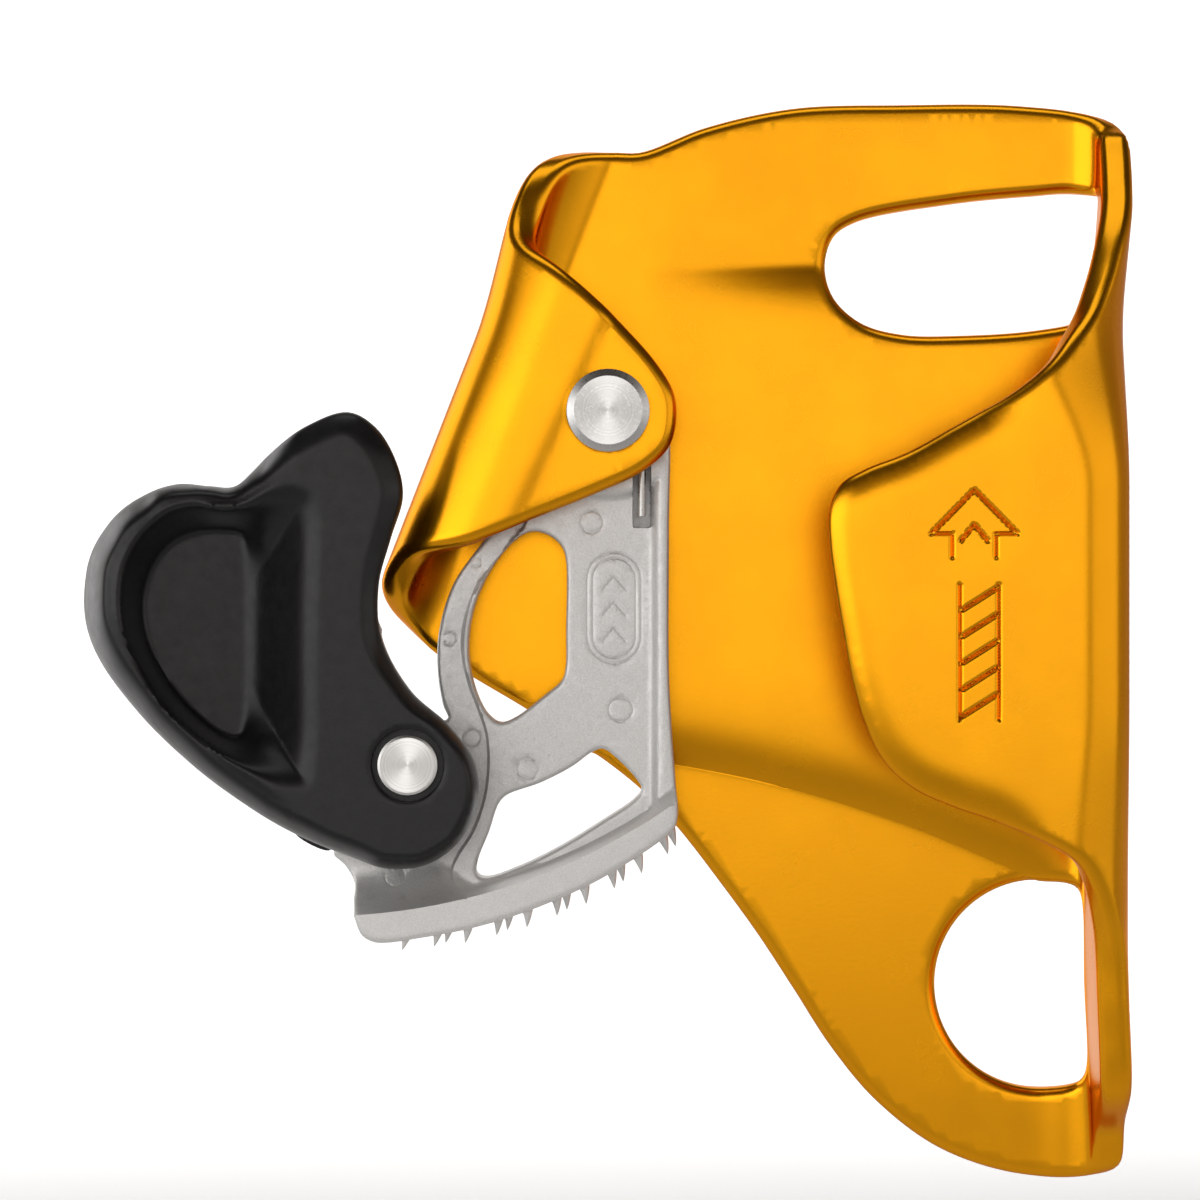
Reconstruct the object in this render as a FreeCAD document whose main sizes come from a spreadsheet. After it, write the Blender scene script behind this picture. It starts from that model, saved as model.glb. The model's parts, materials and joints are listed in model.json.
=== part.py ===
import FreeCAD, Part

import math
import os
import re

import Sketcher
from FreeCAD import Placement, Rotation, Vector

# Chest ascender for a single rope, stored with its cam locked open.
#
# Every sub-part is drawn as seen from the front of the device: across is world X, up is
# world Z, and depth is counted forward from the rear face of the back sheet, so that the
# front of the device is at negative world Y. The origin is the centre of the lower
# attachment hole, in the rear face of the back sheet.
FRONT_VIEW = Placement(Vector(0, 0, 0), Rotation(Vector(1, 0, 0), 90))

SIZES = {
    # bent sheet frame
    "sheet": 3.2,
    "ear_gap": 7.2,
    "channel_gap": 14.0,
    "web_face": 7.6,
    "web_corner": 4.8,
    "fold_lean": 21.3,
    "fold_foot_across": -60.2,
    "fold_foot_up": 39.3,
    "lower_hole_radius": 10.6,
    "lower_hole_side": 4.0,
    # cam pivot
    "cam_across": -43.9,
    "cam_up": 57.9,
    "cam_pin_radius": 3.5,
    "cam_bore_radius": 3.55,
    "cam_head_radius": 4.1,
    "cam_head_front": 15.1,
    "cam_tail_radius": 4.4,
    "cam_tail_height": 1.2,
    "head_bevel": 0.7,
    "shim": 0.5,
    "shim_radius": 5.8,
    # cam
    "cam_rear": 4.0,
    "cam_face": 9.0,
    "cam_rim_face": 10.0,
    "cam_step": 0.8,
    "band_rear": 4.7,
    "band_face": 15.7,
    "seat_face": 10.9,
    "seat_radius": 4.6,
    "tooth_radius": 0.75,
    "tooth_height": 2.5,
    "tooth_sunk": 0.4,
    "tooth_rake": 20.0,
    "slot_width": 2.4,
    "slot_length": 7.6,
    # springs
    "cam_coil_radius": 4.55,
    "cam_wire": 0.8,
    "cam_coil_rear": 6.9,
    "catch_coil_radius": 3.15,
    "catch_wire": 0.6,
    "catch_coil_rear": 11.9,
    "coil_pitch_ratio": 1.12,
    # catch
    "catch_across": -63.7,
    "catch_up": 22.8,
    "catch_pin_radius": 2.0,
    "catch_bore_radius": 2.05,
    "catch_head_radius": 2.95,
    "catch_tail_radius": 3.2,
    "catch_tail_rear": 3.6,
    "catch_rear": 3.9,
    "catch_lobe_rear": 11.5,
    "catch_horn_rear": 13.9,
    "catch_face": 16.7,
    "head_recess_radius": 3.5,
    "head_recess": 1.3,
    "catch_swing_room": 12.7,
    "ear_swing_room": 30.4,
    "thumb_pocket": 5.5,
    # wear plate
    "wear_plate": 1.0,
    "wear_plate_low": 22.0,
    "wear_plate_high": 60.0,
}

doc = FreeCAD.newDocument("ascender")
sheet = doc.addObject("Spreadsheet::Sheet", "sizes")
for row, (alias, value) in enumerate(SIZES.items(), start=1):
    sheet.set("A%d" % row, alias)
    sheet.set("B%d" % row, str(value))
    sheet.setAlias("B%d" % row, alias)
doc.recompute()


def bound(formula):
    """The formula with each alias spelled as a cell of the sheet."""
    return re.sub(r"[a-z_]+[a-z]", lambda word: "sizes." + word.group(), formula)


def size(alias):
    """Value of one driving dimension, read back from the sheet."""
    return float(sheet.get(alias))


# --- drawing helpers -------------------------------------------------------------------

def flat(point, depth=0.0):
    return Vector(point[0], point[1], depth)


def outline(start, *steps):
    """Curves from start through each step in turn. A step is a list of points: one
    point ends a line, two are the middle and end of an arc, more make a smooth curve."""
    curves = []
    here = flat(start)
    for step in steps:
        points = [here] + [flat(point) for point in step]
        if len(points) == 2:
            curve = Part.LineSegment(*points)
        elif len(points) == 3:
            curve = Part.Arc(*points)
        else:
            curve = Part.BSplineCurve()
            curve.interpolate(points)
        curves.append(curve)
        here = points[-1]
    return curves


def circle(centre, radius):
    return [Part.Circle(flat(centre), Vector(0, 0, 1), radius)]


def prism(curves, rear, front):
    wire = Part.Wire([curve.toShape() for curve in curves])
    solid = Part.Face(wire).extrude(Vector(0, 0, front - rear))
    solid.translate(Vector(0, 0, rear))
    return solid


def new_body(name):
    body = doc.addObject("PartDesign::Body", name)
    body.Label = name
    body.Placement = FRONT_VIEW
    return body


def new_sketch(body, name, role, depth, loops):
    sketch = body.newObject("Sketcher::SketchObject", name)
    plane = next(item for item in body.Origin.OriginFeatures if item.Role == role)
    sketch.AttachmentSupport = [(plane, "")]
    sketch.MapMode = "FlatFace"
    if depth:
        sketch.setExpression("AttachmentOffset.Base.z", bound(depth))
    for loop in loops:
        for curve in loop:
            sketch.addGeometry(curve, False)
    return sketch


def pad(body, name, rear, front, *loops):
    """Material between two depths, each a formula on the sheet."""
    feature = body.newObject("PartDesign::Pad", name)
    feature.Profile = new_sketch(body, name + "_outline", "XY_Plane", rear, loops)
    feature.setExpression("Length", bound("(%s) - (%s)" % (front, rear)))
    doc.recompute()
    return feature


def pocket(body, name, rear, front, *loops):
    """Cut from the front depth back to the rear one."""
    before = body.Shape.Volume
    feature = body.newObject("PartDesign::Pocket", name)
    feature.Profile = new_sketch(body, name + "_outline", "XY_Plane", front, loops)
    feature.setExpression("Length", bound("(%s) - (%s)" % (front, rear)))
    doc.recompute()
    if body.Shape.Volume >= before - 1e-6:
        raise RuntimeError(name + " cuts nothing")
    return feature


def turned(name, across, up, corners):
    """Body of revolution on an axis that points forward. Each corner is a pair of
    formulas on the sheet: its distance from the axis and its depth."""
    body = doc.addObject("PartDesign::Body", name)
    body.Label = name
    body.Placement = Placement(Vector(size(across), 0, size(up)), FRONT_VIEW.Rotation)
    points = [
        Vector(float(sheet.evalExpression(radius)), float(sheet.evalExpression(depth)), 0)
        for radius, depth in corners
    ]
    sides = [Part.LineSegment(a, b) for a, b in zip(points, points[1:] + points[:1])]
    sketch = new_sketch(body, name + "_profile", "XZ_Plane", None, [sides])
    for index, corner in enumerate(corners):
        following = (index + 1) % len(corners)
        sketch.addConstraint(Sketcher.Constraint("Coincident", index, 2, following, 1))
        for kind, formula, value in zip(("DistanceX", "DistanceY"), corner, points[index]):
            number = sketch.addConstraint(Sketcher.Constraint(kind, -1, 1, index, 1, value))
            sketch.setExpression("Constraints[%d]" % number, bound(formula))
    spin = body.newObject("PartDesign::Revolution", name + "_turning")
    spin.Profile = sketch
    spin.ReferenceAxis = (sketch, ["V_Axis"])
    spin.Angle = 360
    doc.recompute()
    return body


# --- frame -----------------------------------------------------------------------------
# One sheet: a flat back, a slanted fold at its left that brings the ear over the cam,
# and a channel at its right whose web and flange hold the rope.

SHEET = size("sheet")
FOLD_RADIUS = SHEET + size("ear_gap") / 2
EAR_FACE = 2 * FOLD_RADIUS
FLANGE_FACE = 2 * SHEET + size("channel_gap")
CAM_PIVOT = (size("cam_across"), size("cam_up"))
CATCH_PIVOT = (size("catch_across"), size("catch_up"))
BEND_START = size("web_face") - size("web_corner")


def folded_side():
    """Back sheet, fold and ear: one section across the fold line, run along it."""
    lean = math.radians(size("fold_lean"))
    along = Vector(math.sin(lean), math.cos(lean), 0)
    across = Vector(math.cos(lean), -math.sin(lean), 0)
    foot = Vector(size("fold_foot_across"), size("fold_foot_up"), 0) - along * 60

    def at(reach, depth):
        return foot + across * reach + Vector(0, 0, depth)

    inner = FOLD_RADIUS - SHEET
    back_reach, ear_reach = 36, 20
    sides = [
        Part.LineSegment(at(back_reach, SHEET), at(back_reach, 0)),
        Part.LineSegment(at(back_reach, 0), at(0, 0)),
        Part.Arc(at(0, 0), at(-FOLD_RADIUS, FOLD_RADIUS), at(0, EAR_FACE)),
        Part.LineSegment(at(0, EAR_FACE), at(ear_reach, EAR_FACE)),
        Part.LineSegment(at(ear_reach, EAR_FACE), at(ear_reach, EAR_FACE - SHEET)),
        Part.LineSegment(at(ear_reach, EAR_FACE - SHEET), at(0, EAR_FACE - SHEET)),
        Part.Arc(at(0, EAR_FACE - SHEET), at(-inner, FOLD_RADIUS), at(0, SHEET)),
        Part.LineSegment(at(0, SHEET), at(back_reach, SHEET)),
    ]
    section = Part.Face(Part.Wire([side.toShape() for side in sides]))
    return section.extrude(along * 150)


def channel_side():
    """Channel at the right. Its web leans out a little towards the top and bottom."""
    corner = size("web_corner")
    inner = corner - SHEET
    bevel = 1 - math.sqrt(0.5)
    sections = []
    for up, flare in ((-24, 0.9), (8, 0.0), (66, 0.0), (84, 1.4), (92, 1.4)):
        web = size("web_face") + flare
        start = web - corner

        def at(across, depth):
            return Vector(across, up, depth)

        back_reach, flange_reach = -34, -24
        top = FLANGE_FACE
        sides = [
            Part.LineSegment(at(back_reach, SHEET), at(back_reach, 0)),
            Part.LineSegment(at(back_reach, 0), at(start, 0)),
            Part.Arc(at(start, 0), at(web - bevel * corner, bevel * corner), at(web, corner)),
            Part.LineSegment(at(web, corner), at(web, top - corner)),
            Part.Arc(
                at(web, top - corner),
                at(web - bevel * corner, top - bevel * corner),
                at(start, top),
            ),
            Part.LineSegment(at(start, top), at(flange_reach, top)),
            Part.LineSegment(at(flange_reach, top), at(flange_reach, top - SHEET)),
            Part.LineSegment(at(flange_reach, top - SHEET), at(start, top - SHEET)),
            Part.Arc(
                at(start, top - SHEET),
                at(start + inner * (1 - bevel), top - SHEET - bevel * inner),
                at(start + inner, top - corner),
            ),
            Part.LineSegment(at(start + inner, top - corner), at(start + inner, corner)),
            Part.Arc(
                at(start + inner, corner),
                at(start + inner * (1 - bevel), SHEET + bevel * inner),
                at(start, SHEET),
            ),
            Part.LineSegment(at(start, SHEET), at(back_reach, SHEET)),
        ]
        sections.append(Part.Wire([side.toShape() for side in sides]))
    return Part.makeLoft(sections, True, True)


def back_outline():
    """Edge of the back sheet, from the top of the fold round by the right."""
    return outline(
        (-57.0, 79.2),
        [(-53.6, 79.2)],
        [(-51.2, 83.6), (-46.8, 87.3), (-38.5, 89.8)],
        [(14.0, 89.8)],
        [(14.0, -19.8)],
        [(0.0, -19.8)],
        [(-11.6, -16.1), (-18.8, -9.2)],
        [(-25.5, 0.3), (-28.6, 5.2), (-32.3, 10.1), (-36.8, 15.9), (-40.3, 19.8)],
        [(-45.1, 23.6)],
        [(-61.7, 34.0)],
        [(-64.9, 36.6), (-66.8, 40.4)],
        [(-76.0, 44.0)],
        [(-57.0, 79.2)],
    )


def ear_outline():
    """Edge of the ear: a slanted top, a round nose about the pivot, a slanted foot."""
    return outline(
        (-57.0, 79.2),
        [(-53.6, 79.2)],
        [(-52.7, 76.6), (-50.6, 74.2), (-45.0, 68.2), (-40.6, 64.4)],
        [(-37.1, 57.4), (-40.8, 51.5)],
        [(-57.8, 44.6)],
        [(-63.4, 42.3), (-66.8, 40.4)],
        [(-76.0, 44.0)],
        [(-57.0, 79.2)],
    )


def flange_outline():
    """Edge of the flange; beyond the bend it opens to take in the whole web."""
    return outline(
        (BEND_START, 70.5),
        [(0.6, 66.0), (-2.8, 61.6), (-10.6, 55.6), (-18.4, 52.0)],
        [(-21.4, 50.2), (-22.0, 46.4)],
        [(-21.2, 38.4), (-20.1, 32.0), (-18.6, 26.1)],
        [(-17.6, 23.9), (-15.8, 21.9)],
        [(-12.3, 19.7), (-7.2, 17.9), (-1.5, 15.0), (BEND_START, 11.6)],
        [(BEND_START, -19.8)],
        [(14.0, -19.8)],
        [(14.0, 89.8)],
        [(BEND_START, 89.8)],
        [(BEND_START, 70.5)],
    )


def web_relief(ends):
    """What is cut from the web's front edge, which falls back to the sheet in a curve."""
    points = [Vector(BEND_START, up, depth) for up, depth in ends]
    curve = Part.BSplineCurve()
    curve.interpolate(points)
    corner = Vector(BEND_START, points[-1].y, points[0].z)
    sides = [curve, Part.LineSegment(points[-1], corner), Part.LineSegment(corner, points[0])]
    face = Part.Face(Part.Wire([side.toShape() for side in sides]))
    return face.extrude(Vector(12, 0, 0))


def upper_hole():
    return outline(
        (-18.8, 77.6),
        [(-9.0, 79.5), (-4.0, 80.1), (3.0, 80.4)],
        [(5.3, 79.4), (5.9, 77.0)],
        [(5.9, 68.5)],
        [(4.6, 67.0)],
        [(1.0, 66.2), (-3.5, 65.6), (-8.1, 65.4), (-14.2, 65.4)],
        [(-20.4, 68.2), (-22.3, 73.0)],
        [(-21.4, 76.0), (-18.8, 77.6)],
    )


def lower_hole():
    radius, side = size("lower_hole_radius"), size("lower_hole_side")
    rise = math.sqrt(radius**2 - side**2)
    return outline((side, rise), [(-radius, 0), (side, -rise)], [(side, rise)])


def make_frame():
    full_depth = FLANGE_FACE + 2
    zones = prism(back_outline(), -1, FOLD_RADIUS)
    zones = zones.fuse(prism(ear_outline(), FOLD_RADIUS, EAR_FACE + 1))
    zones = zones.fuse(prism(flange_outline(), FOLD_RADIUS, full_depth))
    top_edge = ((70.5, FLANGE_FACE + 1), (73.0, 20.0), (81.5, 15.4), (86.5, 9.0), (90.5, 2.8))
    low_edge = ((11.6, FLANGE_FACE + 1), (9.0, 20.0), (0.0, 17.6), (-12.0, 11.0), (-20.5, 2.8))
    frame = folded_side().fuse(channel_side()).common(zones)
    for cut in (
        web_relief(top_edge),
        web_relief(low_edge),
        prism(upper_hole(), -1, FOLD_RADIUS),
        prism(lower_hole(), -1, FOLD_RADIUS),
        prism(circle(CAM_PIVOT, size("cam_pin_radius")), -1, full_depth),
    ):
        frame = frame.cut(cut)
    part = doc.addObject("Part::Feature", "frame")
    part.Label = "frame"
    part.Shape = frame.removeSplitter()
    part.Placement = FRONT_VIEW
    return part


def make_wear_plate():
    """Steel lining on the inside of the channel's web, hidden behind the flange."""
    face = size("web_face") - SHEET
    low, high = size("wear_plate_low"), size("wear_plate_high")
    plate = new_body("channel_wear_plate")
    corners = [(face, low), (face, high), (face - size("wear_plate"), high),
               (face - size("wear_plate"), low)]
    loop = outline(corners[-1], *[[corner] for corner in corners])
    pad(plate, "lining", "sheet + 1.7", "sheet + channel_gap - 1.7", loop)
    return plate


# --- pivot of the cam ------------------------------------------------------------------

def make_cam_axle():
    """Solid rivet through ear, cam and back sheet, headed at both ends."""
    return turned("cam_axle", "cam_across", "cam_up", (
        ("0", "-cam_tail_height"),
        ("cam_tail_radius - head_bevel", "-cam_tail_height"),
        ("cam_tail_radius", "head_bevel - cam_tail_height"),
        ("cam_tail_radius", "0"),
        ("cam_pin_radius", "0"),
        ("cam_pin_radius", "2 * sheet + ear_gap"),
        ("cam_head_radius", "2 * sheet + ear_gap"),
        ("cam_head_radius", "cam_head_front - head_bevel / 2"),
        ("cam_head_radius - head_bevel", "cam_head_front"),
        ("0", "cam_head_front"),
    ))


def make_cam_shim():
    """Thin washer on the rivet between the back sheet and the cam."""
    return turned("cam_shim", "cam_across", "cam_up", (
        ("cam_bore_radius", "sheet"),
        ("shim_radius", "sheet"),
        ("shim_radius", "sheet + shim"),
        ("cam_bore_radius", "sheet + shim"),
    ))


# --- cam -------------------------------------------------------------------------------

HUB_RADIUS = 6.2
BAND_OUTER = ((-68.4, 6.0), (-51.0, 8.7), (-37.3, 16.4))
BAND_INNER = ((-68.9, 8.0), (-51.6, 11.6), (-37.0, 19.3))
TOOTH_STATIONS = 13
TOOTH_ROWS = ((0.1, 0.31, 0.69, 0.9), (0.2, 0.5, 0.8))
SLOT_STATIONS = (3, 9)


def cam_outline():
    """Silhouette of the casting, from the hub down the rope side and back up the arm."""
    across, up = CAM_PIVOT
    seat_across, seat_up = CATCH_PIVOT
    return outline(
        (across + HUB_RADIUS, up),
        [(-37.8, 30.0)],
        [(-37.2, 21.4)],
        [(-37.0, 19.3)],
        [BAND_OUTER[2]],
        [BAND_OUTER[1], BAND_OUTER[0]],
        [(-69.4, 8.6), (-69.7, 11.2), (-71.8, 13.9)],
        [(-69.2, 20.4)],
        [(seat_across - 4.0, seat_up + 4.0), (seat_across + 1.6, seat_up + 5.6)],
        [(-60.3, 27.2)],
        [(-61.0, 32.4), (-59.9, 39.6), (-57.0, 44.1), (-54.2, 47.6), (-50.6, 53.6)],
        [(-49.9, 58.0)],
        [(across, up + HUB_RADIUS), (across + HUB_RADIUS, up)],
    )


def upper_window():
    return outline(
        (-48.1, 43.0),
        [(-48.1, 32.2)],
        [(-48.3, 31.0), (-49.2, 30.1)],
        [(-53.4, 27.2)],
        [(-54.8, 26.8), (-56.0, 27.6)],
        [(-57.7, 31.8), (-57.6, 37.4), (-55.6, 42.4), (-53.2, 45.3)],
        [(-51.5, 46.1), (-49.8, 45.6)],
        [(-48.6, 44.6), (-48.1, 43.0)],
    )


def lower_window():
    return outline(
        (-54.0, 19.6),
        [(-50.6, 20.8), (-47.4, 22.4), (-45.4, 24.0)],
        [(-44.6, 24.3), (-43.6, 23.9)],
        [(-40.8, 20.9)],
        [(-40.5, 20.2), (-41.0, 19.4)],
        [(-44.2, 17.0), (-48.6, 14.3), (-53.0, 12.2), (-56.3, 11.2)],
        [(-57.2, 11.5), (-57.2, 12.4)],
        [(-56.0, 15.6), (-55.2, 17.8), (-54.0, 19.6)],
    )


def rim_outline():
    """Raised rib along the rope side of the cam."""
    return outline(
        (-40.6, 51.0),
        [(-40.6, 24.6)],
        [(-39.4, 22.6)],
        [(-37.4, 22.6)],
        [(-37.8, 30.0)],
        [(-37.8, 51.0)],
        [(-40.6, 51.0)],
    )


def arm_step():
    """The arm and the catch's seat stand a step lower than the web."""
    return outline(
        (-52.4, 50.4),
        [(-57.2, 41.1), (-58.2, 34.6), (-56.9, 28.8), (-55.9, 23.1), (-57.6, 17.6), (-59.3, 12.4)],
        [(-80.0, 12.4)],
        [(-80.0, 50.4)],
        [(-52.4, 50.4)],
    )


def band_outline():
    """Toothed shoe at the foot of the cam, as wide as the rope channel allows."""
    return outline(
        BAND_OUTER[0],
        [BAND_OUTER[1], BAND_OUTER[2]],
        [BAND_INNER[2]],
        [BAND_INNER[1], BAND_INNER[0]],
        [BAND_OUTER[0]],
    )


def shoe_frame(station):
    """Point on the shoe's toothed face at a station, and the direction out of it."""
    ends = [flat(point) for point in BAND_OUTER]
    arc = Part.Arc(*ends).toShape().Curve
    first, last = [-(end - arc.Center).getAngle(Vector(1, 0, 0)) for end in (ends[0], ends[2])]
    share = (station + 0.5) / TOOTH_STATIONS
    angle = first + share * (last - first)
    return arc.Center + Vector(math.cos(angle), math.sin(angle), 0) * arc.Radius, angle


def make_cam_teeth():
    """Rows of raked teeth on the shoe, each a cone sunk a little into it."""
    rake = math.radians(size("tooth_rake"))
    width = size("band_face") - size("band_rear")
    teeth = []
    for station in range(TOOTH_STATIONS):
        root, angle = shoe_frame(station)
        out = Vector(math.cos(angle), math.sin(angle), 0)
        lean = Vector(math.cos(angle - rake), math.sin(angle - rake), 0)
        for share in TOOTH_ROWS[station % 2]:
            if share == 0.5 and station in SLOT_STATIONS:
                continue
            depth = Vector(0, 0, size("band_rear") + share * width)
            tooth = doc.addObject("Part::Cone", "tooth")
            tooth.setExpression("Radius1", "sizes.tooth_radius")
            tooth.setExpression("Height", "sizes.tooth_height")
            tooth.Radius2 = 0
            foot = root - out * size("tooth_sunk") + depth
            tooth.Placement = FRONT_VIEW * Placement(foot, Rotation(Vector(0, 0, 1), lean))
            teeth.append(tooth)
    return teeth


def make_mud_slots():
    """Slots through the shoe, between the teeth, that let mud out."""
    middle = (size("band_rear") + size("band_face")) / 2
    slots = []
    for station in SLOT_STATIONS:
        root, angle = shoe_frame(station)
        slot = doc.addObject("Part::Box", "mud_slot")
        slot.setExpression("Length", "2 * sizes.seat_radius")
        slot.setExpression("Width", "sizes.slot_length")
        slot.setExpression("Height", "sizes.slot_width")
        centre = Vector(size("seat_radius"), size("slot_length") / 2, size("slot_width") / 2)
        spin = Rotation(Vector(0, 0, 1), math.degrees(angle))
        corner = root + Vector(0, 0, middle) - spin.multVec(centre)
        slot.Placement = FRONT_VIEW * Placement(corner, spin)
        slots.append(slot)
    return slots


def make_cam():
    """Cast cam: hub, two windows, lowered arm, raised rib and seat, toothed shoe."""
    casting = new_body("cam_casting")
    pad(casting, "web", "cam_rear", "cam_face", cam_outline(), upper_window(), lower_window())
    pocket(casting, "low_arm", "cam_face - cam_step", "cam_face", arm_step())
    pad(casting, "hub", "cam_rear", "cam_rim_face", circle(CAM_PIVOT, HUB_RADIUS))
    pad(casting, "rim", "cam_rear", "cam_rim_face", rim_outline())
    pad(casting, "shoe", "band_rear", "band_face", band_outline())
    pad(casting, "seat", "cam_rear", "seat_face", circle(CATCH_PIVOT, size("seat_radius")))
    coil_room = size("cam_coil_radius") + size("cam_wire")
    coil_rear = "cam_coil_rear - cam_wire"
    pocket(casting, "coil_pocket", coil_rear, "cam_rim_face", circle(CAM_PIVOT, coil_room))
    leg_room = outline((-44.0, 54.0), [(-39.7, 54.0)], [(-39.7, 46.4)], [(-41.3, 46.4)],
                       [(-41.3, 52.4)], [(-44.0, 52.4)], [(-44.0, 54.0)])
    pocket(casting, "leg_slot", coil_rear, "cam_rim_face", leg_room)
    pocket(casting, "bore", "0", "cam_rim_face", circle(CAM_PIVOT, size("cam_bore_radius")))
    pocket(casting, "pin_hole", "0", "seat_face", circle(CATCH_PIVOT, size("catch_pin_radius")))
    toothed = doc.addObject("Part::MultiFuse", "toothed_cam")
    toothed.Shapes = [casting] + make_cam_teeth()
    slots = doc.addObject("Part::MultiFuse", "mud_slots")
    slots.Shapes = make_mud_slots()
    cam = doc.addObject("Part::Cut", "cam")
    cam.Label = "cam"
    cam.Base, cam.Tool = toothed, slots
    doc.recompute()
    return cam


# --- springs ---------------------------------------------------------------------------

def coil(name, pivot, radius, wire, rear, turns, legs):
    """Torsion spring. A leg is the points, seen from the pivot, that it runs through from
    one end of the coil."""
    pitch = wire * size("coil_pitch_ratio")
    helix = Part.makeHelix(pitch, pitch * turns, radius)
    start = Vector(radius, 0, 0)
    section = Part.Wire(Part.Circle(start, Vector(0, 1, 0), wire / 2).toShape())
    shape = Part.Wire(helix).makePipeShell([section], True, True)
    turn = 2 * math.pi * turns
    ends = (start, Vector(radius * math.cos(turn), radius * math.sin(turn), pitch * turns))
    for end, leg in zip(ends, legs):
        here = end
        for point in leg:
            there = flat(point, end.z)
            run = there - here
            shape = shape.fuse(Part.makeSphere(wire / 2, here))
            shape = shape.fuse(Part.makeCylinder(wire / 2, run.Length, here, run))
            here = there
    spring = doc.addObject("Part::Feature", name)
    spring.Label = name
    shape.translate(Vector(pivot[0], pivot[1], rear))
    spring.Shape = shape.removeSplitter()
    spring.Placement = FRONT_VIEW
    return spring


def make_cam_spring():
    """Closes the cam; it sits round the rivet, with one leg in the cam's slot."""
    radius = size("cam_coil_radius")
    legs = (((radius - 0.5, -0.9),), ((3.4, -radius), (3.4, -10.4)))
    return coil("cam_spring", CAM_PIVOT, radius, size("cam_wire"), size("cam_coil_rear"), 2.75, legs)


def make_catch_spring():
    """Brings the catch back; it sits in the rear of the catch, round its rivet."""
    radius = size("catch_coil_radius")
    legs = (((radius - 0.4, -0.8),), ((-1.6, radius),))
    turns = 2.25
    return coil("catch_spring", CATCH_PIVOT, radius, size("catch_wire"),
                size("catch_coil_rear"), turns, legs)


# --- catch -----------------------------------------------------------------------------

def make_catch_axle():
    """Rivet fixed in the cam; the catch turns on it, its head sunk in the catch."""
    head_front = "catch_face - 0.2"
    head_rear = "catch_face - head_recess + 0.15"
    return turned("catch_axle", "catch_across", "catch_up", (
        ("0", "catch_tail_rear"),
        ("catch_tail_radius", "catch_tail_rear"),
        ("catch_tail_radius", "cam_rear"),
        ("catch_pin_radius", "cam_rear"),
        ("catch_pin_radius", head_rear),
        ("catch_head_radius", head_rear),
        ("catch_head_radius", head_front + " - head_bevel / 6"),
        ("catch_head_radius - head_bevel / 3", head_front),
        ("0", head_front),
    ))


def make_catch_shim():
    return turned("catch_shim", "catch_across", "catch_up", (
        ("catch_bore_radius", "seat_face"),
        ("seat_radius", "seat_face"),
        ("seat_radius", "seat_face + 0.3"),
        ("catch_bore_radius", "seat_face + 0.3"),
    ))


def catch_outline():
    """Silhouette of the catch: thumb lobe, notch, horn, neck and pivot lobe."""
    return outline(
        (-80.8, 50.2),
        [(-79.2, 52.0), (-77.0, 54.0), (-72.6, 57.0), (-69.6, 57.7), (-67.0, 56.4),
         (-64.8, 52.8), (-64.3, 49.4), (-65.6, 45.0), (-66.8, 40.4), (-66.2, 34.8),
         (-63.4, 30.0), (-59.8, 26.6)],
        [(-56.8, 21.4), (-58.6, 15.2)],
        [(-61.6, 12.9), (-65.4, 12.3), (-69.6, 13.4)],
        [(-78.8, 17.8), (-85.6, 22.8), (-91.4, 28.2), (-95.4, 34.4), (-96.4, 40.0),
         (-94.6, 45.6), (-90.2, 49.6), (-86.0, 50.7), (-83.0, 50.2), (-80.8, 50.2)],
    )


def thumb_pocket():
    return outline(
        (-80.0, 46.2),
        [(-80.0, 26.4)],
        [(-86.6, 28.6), (-88.8, 35.8)],
        [(-88.4, 43.2), (-80.0, 46.2)],
    )


def make_catch():
    """Moulded catch. Its horn runs in front of the ear, its pivot lobe in front of the
    cam, and its thumb lobe fills the whole depth."""
    body = new_body("catch")
    pad(body, "block", "catch_rear", "catch_face", catch_outline())
    pocket(body, "ear_room", "0", "catch_horn_rear", circle(CAM_PIVOT, size("ear_swing_room")))
    cam_room = circle(CATCH_PIVOT, size("catch_swing_room"))
    pocket(body, "cam_room", "0", "catch_lobe_rear", cam_room)
    thumb_floor = "catch_face - thumb_pocket"
    pocket(body, "thumb", thumb_floor, "catch_face", thumb_pocket())
    head_floor = "catch_face - head_recess"
    recess = circle(CATCH_PIVOT, size("head_recess_radius"))
    pocket(body, "head_sink", head_floor, "catch_face", recess)
    pocket(body, "bore", "0", "catch_face", circle(CATCH_PIVOT, size("catch_bore_radius")))
    coil_room = size("catch_coil_radius") + size("catch_wire")
    coil_front = "catch_coil_rear + 3.2 * catch_wire"
    pocket(body, "coil_pocket", "catch_lobe_rear", coil_front, circle(CATCH_PIVOT, coil_room))
    return body


def check(part):
    """Stop if the part, or anything that it is made from, failed."""
    if part.Shape.isNull() or not part.Shape.isValid():
        raise RuntimeError(part.Label + " has no valid shape")
    if not part.Shape.Solids:
        raise RuntimeError(part.Label + " is not solid")


def main():
    parts = [
        make_frame(),
        make_wear_plate(),
        make_cam_axle(),
        make_cam_shim(),
        make_cam(),
        make_cam_spring(),
        make_catch_axle(),
        make_catch_shim(),
        make_catch(),
        make_catch_spring(),
    ]
    doc.recompute()
    for item in doc.Objects:
        if {"Invalid", "Error"} & set(item.State):
            raise RuntimeError(item.Label + " did not compute")
    for part in parts:
        check(part)
    os.makedirs("parts", exist_ok=True)
    for part in parts:
        part.Shape.exportStep("parts/%s.step" % part.Label)
        print("%-20s %8.1f mm3  %d solid" % (part.Label, part.Shape.Volume, len(part.Shape.Solids)))


main()
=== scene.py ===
import json
import math

import bmesh
import bpy
import numpy as np
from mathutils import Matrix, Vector, geometry


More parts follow.
